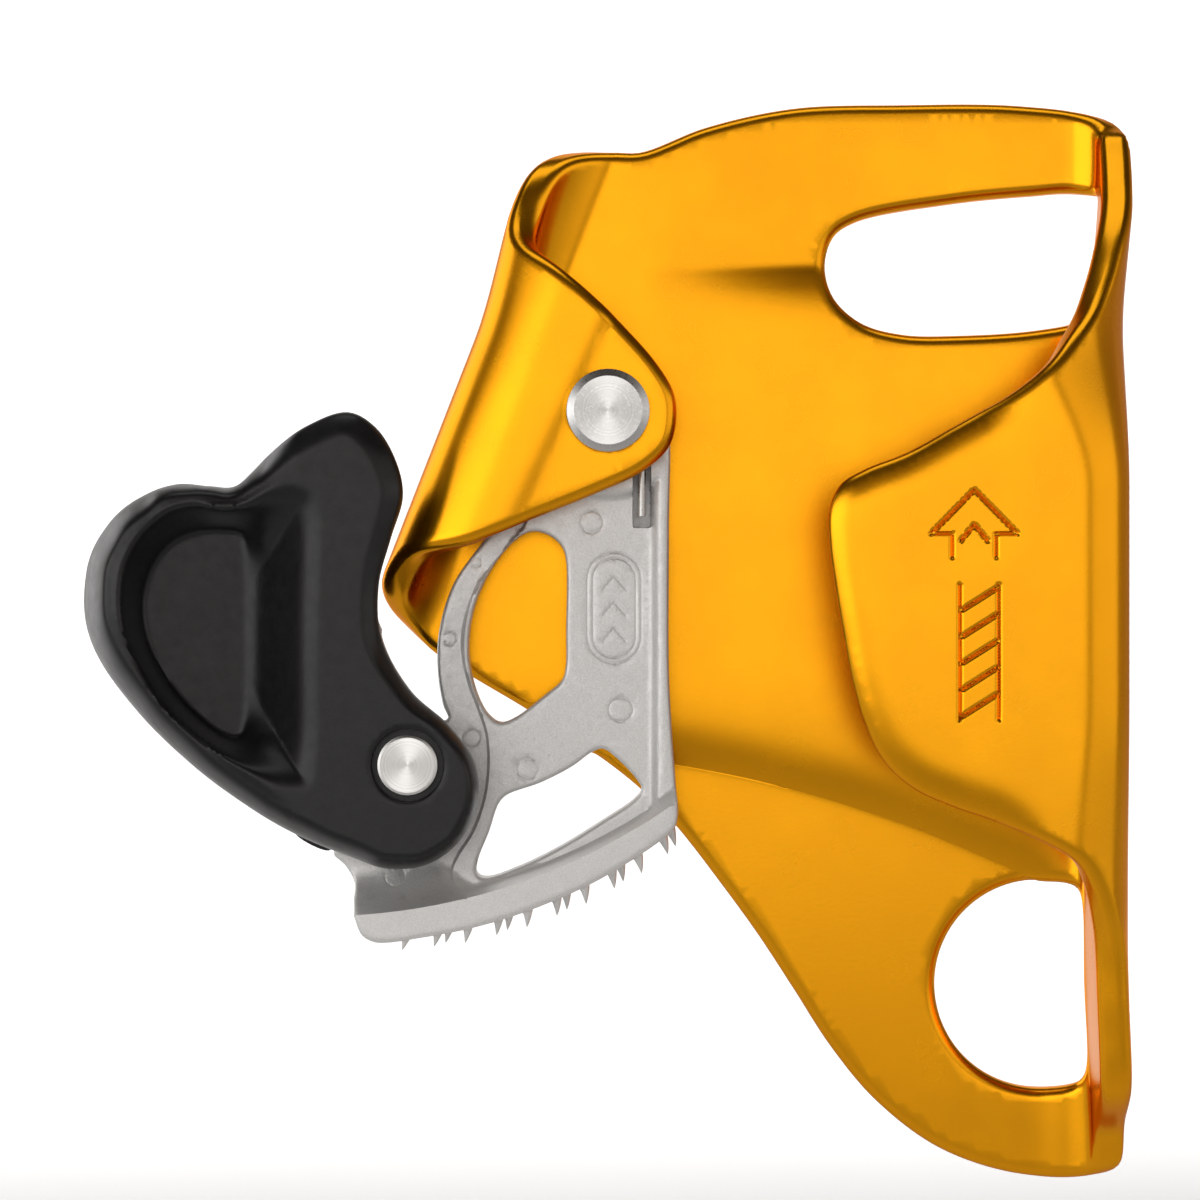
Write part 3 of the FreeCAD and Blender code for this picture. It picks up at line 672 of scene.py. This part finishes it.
THUMB_FLOOR = (
    (-80.7, 45.6), (-82.4, 45.9), (-84.8, 45.6), (-87.4, 44.4), (-89.2, 42.0), (-90.0, 39.0),
    (-89.7, 35.6), (-88.4, 32.4), (-85.6, 28.6), (-82.4, 25.9), (-80.9, 25.6), (-80.5, 27.2),
    (-80.5, 31.0), (-80.5, 36.0), (-80.5, 41.0), (-80.5, 44.4),
)


def flank(points, outline, loop):
    """Distance in from the edge, and the flank's width at the nearest control point."""
    edge_gap = distance_to(points, loop)
    controls = np.array(outline)
    gaps = np.linalg.norm(points[:, None, :] - controls[None, :, :2], axis=2)
    weight = 1 / (gaps**3 + 0.05)
    return edge_gap, (weight * controls[:, 2]).sum(axis=1) / weight.sum(axis=1)


def soft_ramp(share, corner):
    """0 to 1 in a straight ramp with rounded ends."""
    half = corner / 2
    value = np.clip(share, 0, 1)
    low = (share + half) ** 2 / (2 * corner)
    high = 1 - (1 - share + half) ** 2 / (2 * corner)
    value = np.where(np.abs(share) < half, low, value)
    return np.where(np.abs(1 - share) < half, high, value)


def make_catch():
    loop = turned(rounded_loop([point[:2] for point in CATCH_EDGE], 0.45), True)
    rim = rounded_loop(THUMB_RIM, 0.5)
    floor = rounded_loop(THUMB_FLOOR, 0.5)

    def thick(points):
        """Rear depth: full at the thumb, thinner in front of the ear and the cam."""
        rear = np.full(len(points), CATCH_REAR)
        for centre, sweep, level in ((CAM_PIVOT, HORN_SWEEP, CATCH_HORN_REAR),
                                     (CATCH_PIVOT, LOBE_SWEEP, CATCH_LOBE_REAR)):
            gap = away_from(centre, points) - sweep
            ramp = smooth((1.3 - gap) / 0.9)
            rear = np.maximum(rear, CATCH_REAR + (level - CATCH_REAR) * ramp)
        return rear

    def front(points):
        gap, width = flank(points, CATCH_EDGE, loop)
        share = np.clip(gap / width, 0, 1)
        horn = smooth((away_from(CAM_PIVOT, points) - 30.5) / 5)
        drop = width * (0.5 + 1.35 * horn)
        depth = CATCH_FACE - 0.05 - drop * (1 - share) ** 1.6
        thumb_side = smooth((-74 - points[:, 0]) / 6)
        depth -= 0.30 * thumb_side * np.exp(-(((gap - width - 0.1) / 0.5) ** 2))
        # The thumb pocket slopes evenly from its rim to its floor.
        near_rim, in_rim = distance_to(points, rim), inside(points, rim)
        to_floor = np.where(inside(points, floor), 0, distance_to(points, floor))
        signed = np.where(in_rim, near_rim, -near_rim)
        share = signed / np.maximum(signed + to_floor, 0.3)
        pocket = 5.0 + 0.09 * np.clip(points[:, 0] + 90, 0, 10)
        depth -= pocket * soft_ramp(np.clip((share - 0.5) / 0.72 + 0.5, -1, 1.5), 0.42)
        # The rivet's head lies in a round recess with a soft lip.
        from_head = away_from(CATCH_PIVOT, points)
        depth -= RECESS_DEPTH * (from_head < RECESS_RADIUS)
        lip = 1 - smooth((from_head - RECESS_RADIUS - 0.02) / 0.2)
        return depth - 0.14 * lip * (from_head >= RECESS_RADIUS)

    def surface(points, side, sink):
        if side == 1:
            depth = front(points) - sink
        else:
            gap, width = flank(points, CATCH_EDGE, loop)
            share = np.clip(gap / width, 0, 1)
            rear = thick(points)
            room = smooth((CATCH_FACE - rear - 4) / 5)
            depth = rear + (0.1 + 0.9 * room) * width * (1 - share) ** 2 + sink
        return np.column_stack([points, depth])

    features = [rings(CATCH_PIVOT, (3.42, 3.52, 3.6, 3.7, 3.82), 0.25)]
    for centre, sweep in ((CAM_PIVOT, HORN_SWEEP), (CATCH_PIVOT, LOBE_SWEEP)):
        features.append(rings(centre, (sweep + 0.35, sweep + 0.6, sweep + 0.85,
                                       sweep + 1.1, sweep + 1.35), 0.35))
    points = mixed(features, grid(loop.min(axis=0), loop.max(axis=0), 0.36), 0.2)
    bore = ring(CATCH_PIVOT, CATCH_BORE, 0.35)
    return make_solid("catch_body", loop, [bore], surface, points, (0.5, 0.2), 4)


def make_catch_stop():
    """Small block moulded on the catch's lower flank, in front of the cam's plane."""
    corners = [(-74.8, 17.0), (-71.2, 15.2), (-71.7, 14.1), (-75.2, 15.9)]
    loop = turned(rounded_loop(corners, 0.25), True)

    def surface(points, side, sink):
        level = STOP_FACE if side == 1 else STOP_REAR
        return np.column_stack([points, np.full(len(points), level - side * sink)])

    points = grid(loop.min(axis=0), loop.max(axis=0), 0.5)
    return make_solid("catch_stop", loop, [], surface, points, (0.2,), 3)


# --- cam ---------------------------------------------------------------------------------

CAM_REAR, SHOE_FACE = depth_span("cam")
CAM_WEB = 9.0
CAM_RIM = 10.0
CAM_ARM = 8.2
SHOE_REAR = 4.7
SEAT_RADIUS, SEAT_FACE = 4.6, 10.9
WELL_RADIUS, WELL_FLOOR = 5.38, 6.1
TOOTH_STATIONS = 10
TOOTH_ROWS = ((0.12, 0.37, 0.63, 0.90), (0.22, 0.5, 0.78))
TOOTH_LENGTH, TOOTH_SUNK, TOOTH_LEAN, TOOTH_THICK = 2.1, 0.5, 0.7, 0.66
TOOTH_SIDES = 12
TOOTH_LEVELS = (0, 0.2, 0.4, 0.6, 0.8, 0.93, 1.0)
SHOE_OUTER = (-68.4, 6.0), (-51.0, 8.7), (-37.3, 16.4)
SHOE_INNER = (-68.9, 8.0), (-51.6, 11.6), (-37.0, 19.3)

CAM_EDGE = (
    (-37.8, 57.9), (-38.6, 61.0), (-40.8, 63.2), (-43.9, 64.0), (-46.9, 63.2), (-49.2, 60.9),
    (-50.2, 57.6), (-51.4, 52.4), (-53.9, 48.2), (-56.9, 44.4), (-59.4, 40.8), (-60.8, 36.4),
    (-61.05, 32.2), (-60.5, 28.6), (-60.0, 27.2), (-61.0, 26.9), (-63.7, 27.4), (-67.0, 26.0),
    (-69.0, 22.6), (-69.6, 18.0), (-71.2, 14.6), (-71.5, 13.6), (-70.3, 12.4), (-69.4, 10.8),
    (-69.3, 9.0), (-68.9, 7.4), (-68.3, 6.0), (-67.2, 5.3), (-65.8, 5.2), (-62.3, 5.7),
    (-58.2, 6.45), (-54.3, 7.5), (-50.6, 8.8), (-45.6, 11.0), (-41.0, 13.7), (-38.2, 15.7),
    (-37.3, 16.6), (-37.0, 17.8), (-37.1, 20.4), (-37.5, 26.0), (-37.8, 32.0), (-37.8, 46.0),
)
UPPER_WINDOW = (
    (-48.1, 43.0), (-48.1, 36.0), (-48.15, 32.4), (-48.5, 31.1), (-50.4, 29.4), (-53.2, 27.3),
    (-54.7, 26.8), (-56.0, 27.7), (-57.3, 30.4), (-57.9, 34.0), (-57.4, 38.2), (-55.6, 42.3),
    (-53.3, 45.1), (-51.6, 46.0), (-49.8, 45.6), (-48.5, 44.4),
)
LOWER_WINDOW = (
    (-54.1, 19.5), (-50.6, 20.8), (-47.5, 22.4), (-45.4, 23.9), (-44.4, 24.2), (-43.2, 23.4),
    (-41.0, 21.1), (-40.5, 20.1), (-41.2, 19.1), (-44.3, 17.0), (-48.7, 14.3), (-53.0, 12.2),
    (-56.2, 11.2), (-57.1, 11.6), (-57.0, 12.9), (-55.9, 15.7), (-54.9, 18.6),
)
ARM_STEP = (
    (-50.4, 50.6), (-52.3, 46.6), (-53.8, 44.8), (-55.8, 42.2), (-57.2, 40.2), (-58.3, 37.0),
    (-58.55, 34.3), (-58.0, 31.2), (-57.0, 28.4), (-56.1, 25.7), (-55.9, 22.5), (-56.3, 19.2),
    (-57.4, 16.0), (-58.9, 13.6), (-59.6, 11.9), (-59.2, 10.4), (-58.0, 9.4),
)
CAST_MARKS = ((-45.5, 46.9, 1.1), (-57.1, 42.9, 0.5), (-59.8, 35.2, 0.7), (-42.6, 28.1, 1.2),
              (-57.7, 25.2, 0.9), (-52.0, 22.1, 1.1), (-65.3, 11.4, 1.0))


def cartouche():
    """Raised-line frame on the web, with plain chevrons in it in place of a name."""
    middle, height = (-43.25, 38.3), 11.1
    lines = []
    for half, reach in ((2.7, height / 2), (2.15, height / 2 - 0.55)):
        angles = np.linspace(0, math.pi, 15)
        cap = np.column_stack([half * np.cos(angles), half * np.sin(angles) + reach - half])
        loop = np.vstack([cap, -cap])
        lines.append(np.vstack([loop, loop[:1]]) + middle)
    for rise in (-2.6, 0.0, 2.6):
        chevron = ((-1.15, rise - 0.75), (0, rise + 0.55), (1.15, rise - 0.75))
        lines.append(np.array(chevron) + middle)
    return lines


def make_cam():
    loop = turned(rounded_loop(CAM_EDGE, 0.35), True)
    windows = [rounded_loop(UPPER_WINDOW, 0.35), rounded_loop(LOWER_WINDOW, 0.35)]
    step = smooth_line(ARM_STEP, 0.4)
    arm = np.vstack([step, [(-90, 9.4), (-90, 50.6)]])
    centre, radius, first, last = arc_through(SHOE_INNER)
    marks = [np.vstack([ring((x, z), r, 0.16), ring((x, z), r, 0.16)[:1]])
             for x, z, r in CAST_MARKS] + cartouche()
    slot_low, slot_high = (-41.4, 46.35), (-39.6, 54.5)

    def front(points):
        x, z = points[:, 0], points[:, 1]
        from_pivot = away_from(CAM_PIVOT, points)
        past_step = distance_to(points, step, False) * np.where(inside(points, arm), 1, -1)
        hub = smooth((8.85 - from_pivot) / 0.8)
        rib = smooth((x + 39.75) / 1.1)
        depth = CAM_WEB + (CAM_RIM - CAM_WEB) * np.maximum(hub, rib)
        depth -= (CAM_WEB - CAM_ARM) * smooth(0.5 + past_step / 0.3)
        # The web meets the shoe in a fillet, wide at the shoe's left end.
        above = radius - away_from(centre, points)
        width = 0.6 + 3.6 * smooth((-57 - x) / 4) + 0.5 * smooth((x + 41) / 3)
        share = np.clip(above / width, 0, 1)
        fillet = 1 - np.sqrt(np.maximum(1 - (1 - share) ** 2, 0))
        depth += (SHOE_FACE - depth) * fillet
        depth -= 0.1 * (1 - smooth(distance_to_any(points, marks) / 0.14))
        depth = np.where(away_from(CATCH_PIVOT, points) < SEAT_RADIUS, SEAT_FACE, depth)
        in_slot = (x > slot_low[0]) & (x < slot_high[0]) & (z > slot_low[1]) & (z < slot_high[1])
        return np.where((from_pivot < WELL_RADIUS) | in_slot, WELL_FLOOR, depth)

    def surface(points, side, sink):
        if side == 1:
            depth = front(points) - sink
        else:
            above = radius - away_from(centre, points)
            in_shoe = smooth((0.8 - above) / 1.6)
            depth = CAM_REAR + (SHOE_REAR - CAM_REAR) * in_shoe + sink
        return np.column_stack([points, depth])

    angles = np.linspace(first - 0.06, last + 0.06, 110)
    unit = np.column_stack([np.cos(angles), np.sin(angles)])
    shoe_lines = [centre + (radius - gap) * unit
                  for gap in (-0.5, -0.04, 0.03, 0.1, 0.22, 0.4, 0.65, 0.95, 1.3, 1.7, 2.2)]
    slot_x, slot_z = (np.arange(low, high + 0.1, 0.3) for low, high in zip(slot_low, slot_high))
    slot_lines = []
    for off in (-0.04, 0.04):
        slot_lines += [np.column_stack([np.full(len(slot_z), x + off), slot_z])
                       for x in (slot_low[0], slot_high[0])]
        slot_lines.append(np.column_stack([slot_x, np.full(len(slot_x), slot_low[1] + off)]))
    features = [
        rings(CAM_PIVOT, (WELL_RADIUS - 0.04, WELL_RADIUS + 0.04), 0.3),
        rings(CATCH_PIVOT, (SEAT_RADIUS - 0.04, SEAT_RADIUS + 0.04), 0.3),
        rings(CAM_PIVOT, (8.0, 8.25, 8.5, 8.75, 8.95), 0.35),
        *slot_lines, *shoe_lines,
        beside(step, (-0.3, -0.15, 0.0, 0.15, 0.3)),
    ]
    for x in (-39.8, -39.5, -39.2, -38.9, -38.6):
        rib_z = np.arange(18.5, 51, 0.4)
        features.append(np.column_stack([np.full(len(rib_z), x), rib_z]))
    detail = grid((-60.5, 10), (-40, 48.5), 0.13)
    far = grid((-66.6, 10.1), (-64.0, 12.7), 0.13)
    features += [some[distance_to_any(some, marks) < 0.24] for some in (detail, far)]
    points = mixed(features, grid(loop.min(axis=0), loop.max(axis=0), 0.5), 0.16)
    holes = windows + [ring(CAM_PIVOT, CAM_BORE, 0.4), ring(CATCH_PIVOT, CATCH_BORE, 0.35)]
    edges = (0.45, 0.4, 0.4, 0.15, 0.15)
    return make_solid("cam_casting", loop, holes, surface, points, edges, 4)


def make_teeth():
    """Raked teeth in staggered rows, each curving like a small claw."""
    centre, radius, first, last = arc_through(SHOE_OUTER)
    places, faces = [], []
    for station in range(TOOTH_STATIONS):
        angle = first + (0.14 + 0.091 * station) * (last - first)
        for index, row in enumerate(TOOTH_ROWS[station % 2]):
            lag = angle + (last - first) * 0.03 * (index == 1) * (station % 2)
            out = np.array((math.cos(lag), math.sin(lag)))
            rake = np.array((out[1], -out[0]))
            root = centre + radius * out
            start = len(places)
            tip = start + TOOTH_SIDES * (len(TOOTH_LEVELS) - 1)
            for share in TOOTH_LEVELS:
                middle = root + out * (TOOTH_LENGTH * share - TOOTH_SUNK)
                middle += rake * TOOTH_LEAN * share**1.6
                thick = TOOTH_THICK * (1 - share) ** 0.8 + 0.03
                for turn in np.arange(TOOTH_SIDES) * (2 * math.pi / TOOTH_SIDES):
                    side = middle + rake * thick * math.cos(turn)
                    depth = SHOE_REAR + row * (SHOE_FACE - SHOE_REAR) + 0.85 * thick * math.sin(turn)
                    places.append((side[0], side[1], depth))
            for low in range(start, tip, TOOTH_SIDES):
                high = low + TOOTH_SIDES
                for k in range(TOOTH_SIDES):
                    following = (k + 1) % TOOTH_SIDES
                    faces.append((low + k, low + following, high + following, high + k))
            faces.append(tuple(range(start + TOOTH_SIDES - 1, start - 1, -1)))
            faces.append(tuple(range(tip, tip + TOOTH_SIDES)))
    return make_object("cam_teeth", places, faces, 60)


# --- materials ---------------------------------------------------------------------------

def new_material(name):
    """A material, its node tree, its shader, and the place on the object in its own space."""
    material = bpy.data.materials.new(name)
    material.use_nodes = True
    tree = material.node_tree
    place = tree.nodes.new("ShaderNodeTexCoord").outputs["Object"]
    return material, tree, tree.nodes["Principled BSDF"], place


def fill(tree, node, values):
    """Set each input of the node that is named, or link another node's output to it."""
    for name, value in values.items():
        if isinstance(value, bpy.types.NodeSocket):
            tree.links.new(value, node.inputs[name])
        else:
            node.inputs[name].default_value = value


def add_node(tree, kind, values, operation=None):
    node = tree.nodes.new("ShaderNode" + kind)
    if operation:
        node.operation = operation
    fill(tree, node, values)
    return node.outputs


def noise(tree, place, size_mm, detail=3.0, rough=0.5):
    """Noise whose features are about size_mm across."""
    return add_node(tree, "TexNoise", {"Scale": 1 / (size_mm * MM), "Detail": detail,
                                       "Roughness": rough, "Vector": place})["Fac"]


def spread(tree, value, low, high, from_low=0.3, from_high=0.7):
    return add_node(tree, "MapRange", {"From Min": from_low, "From Max": from_high, "To Min": low,
                                       "To Max": high, "Value": value})["Result"]


def two_tone(tree, value, first, second):
    """Mix of two colours, where the first may be another node's output."""
    node = tree.nodes.new("ShaderNodeMix")
    node.data_type = "RGBA"
    if not isinstance(first, bpy.types.NodeSocket):
        first = (*first, 1)
    fill(tree, node, {"A": first, "B": (*second, 1), "Factor": value})
    return node.outputs["Result"]


def bump(tree, height, distance_mm, strength):
    return add_node(tree, "Bump", {"Strength": strength, "Distance": distance_mm * MM,
                                   "Height": height})["Normal"]


def gold_material():
    """Gold-anodised aluminium: satin, finely etched, a little uneven in depth of colour."""
    material, tree, shader, place = new_material("gold_anodised_aluminium")
    broad = spread(tree, noise(tree, place, 14, 2), 0, 1)
    fill(tree, shader, {
        "Base Color": two_tone(tree, broad, (0.87, 0.355, 0.0008), (0.89, 0.370, 0.001)),
        "Metallic": 1.0,
        "Roughness": spread(tree, noise(tree, place, 6, 3), 0.24, 0.28),
        "Specular Tint": (0.70, 0.42, 0.24, 1),
        "Coat Weight": 0.18,
        "Coat Roughness": 0.22,
        "Normal": bump(tree, noise(tree, place, 0.30, 2), 0.010, 0.4),
    })
    return material


def plastic_material():
    """Black glass-filled nylon with a spark-eroded mould finish."""
    material, tree, shader, place = new_material("black_nylon")
    patch = spread(tree, noise(tree, place, 9, 2), 0, 1)
    fill(tree, shader, {
        "Base Color": two_tone(tree, patch, (0.0035, 0.0035, 0.004), (0.005, 0.005, 0.0055)),
        "Roughness": spread(tree, noise(tree, place, 1.2, 3), 0.31, 0.39),
        "Specular IOR Level": 0.38,
        "Sheen Weight": 0.18,
        "Sheen Roughness": 0.35,
        "Normal": bump(tree, noise(tree, place, 0.22, 3, 0.6), 0.02, 0.5),
    })
    return material


def cast_material():
    """Investment-cast stainless steel, shot-blasted: pale, matt and finely pitted."""
    material, tree, shader, place = new_material("cast_steel")
    patch = spread(tree, noise(tree, place, 0.16, 3, 0.7), 0, 1)
    fill(tree, shader, {
        "Base Color": two_tone(tree, patch, (0.64, 0.637, 0.63), (0.80, 0.796, 0.788)),
        "Metallic": 0.62,
        "Roughness": spread(tree, noise(tree, place, 0.7, 4), 0.40, 0.54),
        "Normal": bump(tree, noise(tree, place, 0.26, 3, 0.6), 0.04, 0.9),
    })
    return material


def turned_material(name, pivot, base, low, high):
    """Steel turned on a lathe: fine rings round the pivot."""
    material, tree, shader, place = new_material(name)
    from_pivot = add_node(tree, "VectorMath", {0: place, 1: (pivot[0] * MM, 0, pivot[1] * MM)},
                          "SUBTRACT")[0]
    flat = add_node(tree, "VectorMath", {0: from_pivot, 1: (1, 0, 1)}, "MULTIPLY")[0]
    radius = add_node(tree, "VectorMath", {0: flat}, "LENGTH")["Value"]
    uneven = tree.nodes.new("ShaderNodeTexNoise")
    uneven.noise_dimensions = "1D"
    fill(tree, uneven, {"Scale": 1 / (0.16 * MM), "Detail": 3, "W": radius})
    turning = uneven.outputs["Fac"]
    tangent = tree.nodes.new("ShaderNodeTangent")
    tangent.direction_type = "RADIAL"
    tangent.axis = "Y"
    fill(tree, shader, {
        "Base Color": two_tone(tree, spread(tree, turning, 0, 1),
                               [0.86 * c for c in base], base),
        "Metallic": 1.0,
        "Roughness": spread(tree, noise(tree, place, 0.3, 3), low, high),
        "Normal": bump(tree, turning, 0.001, 0.4),
        "Anisotropic": 0.8,
        "Tangent": tangent.outputs["Tangent"],
    })
    return material


def drawn_material(name, base, direction):
    """Steel with fine drawn lines along one direction."""
    material, tree, shader, place = new_material(name)
    stretched = add_node(tree, "Mapping", {"Scale": direction, "Vector": place})["Vector"]
    lines = noise(tree, stretched, 0.2, 4)
    fill(tree, shader, {
        "Base Color": two_tone(tree, spread(tree, lines, 0, 1), [0.8 * c for c in base], base),
        "Metallic": 1.0,
        "Roughness": spread(tree, lines, 0.25, 0.4),
        "Normal": bump(tree, lines, 0.01, 0.5),
    })
    return material


def paper_material():
    """Pale matt studio paper, darkened by painted shade just in front of the object, with a painted
    glow behind it.
    """
    material, tree, shader, place = new_material("studio_paper")
    tone = spread(tree, noise(tree, place, 60, 2), 0, 1)
    tint = two_tone(tree, tone, (0.80, 0.80, 0.80), (0.83, 0.83, 0.83))
    apart = add_node(tree, "SeparateXYZ", {0: place})
    # Painted shade: the floor's colour darkens towards the camera, from 3 cm in front of the object
    # to full at 22 cm, so the object reflects it dark.
    front = spread(tree, apart["Y"], 1, 0, -0.22, -0.03)
    # Painted glow: the backdrop emits light behind the object, strongest in the middle and fading to
    # the sides.
    offset = add_node(tree, "Math", {0: apart["X"], 1: 0.045}, "ADD")[0]
    sideways = add_node(tree, "Math", {0: offset}, "ABSOLUTE")[0]
    behind = spread(tree, apart["Y"], 0.12, 0.86, 0.10, 0.34)
    middle = spread(tree, sideways, 1.0, 0.25, 0.32, 0.60)
    fill(tree, shader, {
        "Base Color": two_tone(tree, front, tint, (0.40, 0.395, 0.39)),
        "Roughness": 0.9,
        "Emission Color": (1, 1, 1, 1),
        "Emission Strength": add_node(tree, "Math", {0: behind, 1: middle}, "MULTIPLY")[0],
    })
    return material


# --- studio ------------------------------------------------------------------------------

def add_camera():
    data = bpy.data.cameras.new("camera")
    data.sensor_width = 36
    distance = 0.45
    data.lens = data.sensor_width * distance / 0.120
    camera = bpy.data.objects.new("camera", data)
    camera.location = (-0.0447, -0.0102 - distance, 0.0391)
    camera.rotation_euler = (math.pi / 2, 0, 0)
    bpy.context.scene.collection.objects.link(camera)
    bpy.context.scene.camera = camera


TARGET = Vector((-0.040, -0.010, 0.038))  # middle of the object, at which the lights point


def add_area(name, azimuth, elevation, distance, size_x, size_y, power):
    """Soft light seen from the target at that azimuth, where 0 is the camera's side."""
    data = bpy.data.lights.new(name, "AREA")
    data.shape = "RECTANGLE"
    data.size, data.size_y = size_x, size_y
    data.energy = power
    item = bpy.data.objects.new(name, data)
    side, rise = math.radians(azimuth), math.radians(elevation)
    out = Vector((math.sin(side) * math.cos(rise), -math.cos(side) * math.cos(rise),
                  math.sin(rise)))
    item.location = TARGET + distance * out
    item.visible_camera = False
    item.rotation_euler = out.to_track_quat("Z", "Y").to_euler()
    bpy.context.scene.collection.objects.link(item)


def add_stage():
    """Paper sweep: floor below the object, turning up into a backdrop behind it."""
    low, back, radius = -0.050, 1.30, 0.30
    profile = [(-1.6, low), (0.0, low), (0.3, low), (0.7, low)]
    for step in range(13):
        angle = math.pi / 2 * step / 12
        profile.append((back - radius + radius * math.sin(angle),
                        low + radius - radius * math.cos(angle)))
    profile.append((back, 1.8))
    vertices, faces = [], []
    for y, z in profile:
        vertices += [(-1.8, y, z), (1.8, y, z)]
    for k in range(len(profile) - 1):
        faces.append((2 * k, 2 * k + 1, 2 * k + 3, 2 * k + 2))
    mesh = bpy.data.meshes.new("sweep")
    mesh.from_pydata(vertices, [], faces)
    mesh.polygons.foreach_set("use_smooth", [True] * len(mesh.polygons))
    item = bpy.data.objects.new("sweep", mesh)
    item.data.materials.append(paper_material())
    bpy.context.scene.collection.objects.link(item)


def add_light():
    """Dim warm surroundings, fading upwards and downwards, and five soft lights."""
    world = bpy.data.worlds.new("studio")
    bpy.context.scene.world = world
    world.use_nodes = True
    tree = world.node_tree
    towards = add_node(tree, "TexCoord", {})["Generated"]
    height = add_node(tree, "Math", {0: add_node(tree, "SeparateXYZ", {0: towards})["Z"]},
                      "ABSOLUTE")[0]
    fill(tree, tree.nodes["Background"], {
        "Strength": spread(tree, height, 0.34, 0.05, 0.15, 0.6),
        "Color": (1.0, 0.84, 0.70, 1),
    })
    add_area("front", -3, -3, 0.95, 0.60, 0.62, 1.52)
    add_area("key_left", -46, 2, 0.60, 0.60, 0.42, 1.60)
    add_area("key_right", 57, 4, 0.65, 0.86, 0.45, 0.95)
    add_area("rim_left", -122, 10, 0.60, 0.52, 0.50, 1.25)
    add_area("top", 0, 82, 0.60, 0.50, 0.30, 0.60)


def dress(item, material, body, *replaced, slot):
    """Give a piece its material, its body, and the CAD nodes it replaces. The slot is not used."""
    item.data.materials.clear()
    item.data.materials.append(material)
    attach(item, body)
    if replaced:
        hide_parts(*replaced)


bpy.context.scene.view_settings.view_transform = "Standard"
add_camera()
add_stage()
add_light()
gold, plastic, cast = gold_material(), plastic_material(), cast_material()
dress(make_frame(), gold, "frame", "frame", slot="gold_sheet")
dress(make_catch(), plastic, "catch", "catch", slot="black_plastic")
dress(make_catch_stop(), plastic, "catch", slot="black_plastic")
dress(make_cam(), cast, "cam", "cam", slot="cast_steel")
dress(make_teeth(), cast, "cam", slot="cast_steel")

SHIM_STEEL = (0.62, 0.61, 0.59)
SPRING_STEEL = (0.56, 0.55, 0.53)
CAD_LOOKS = {
    "cam_axle": turned_material("turned_steel_large", CAM_PIVOT, (0.66, 0.655, 0.645), 0.26, 0.32),
    "catch_axle": turned_material("turned_steel_small", CATCH_PIVOT, (0.84, 0.835, 0.82), 0.34, 0.42),
    "cam_shim": drawn_material("shim_steel", SHIM_STEEL, (1, 1, 1)),
    "catch_shim": drawn_material("shim_steel_small", SHIM_STEEL, (1, 1, 1)),
    "cam_spring": drawn_material("spring_steel", SPRING_STEEL, (1, 1, 1)),
    "catch_spring": drawn_material("spring_steel_small", SPRING_STEEL, (1, 1, 1)),
    "channel_wear_plate": drawn_material("stainless_sheet", (0.60, 0.60, 0.59), (1, 1, 0.04)),
}
for node, material in CAD_LOOKS.items():
    item = bpy.data.objects[node]
    if not item.material_slots:
        item.data.materials.append(material)
    for slot in item.material_slots:
        slot.material = material
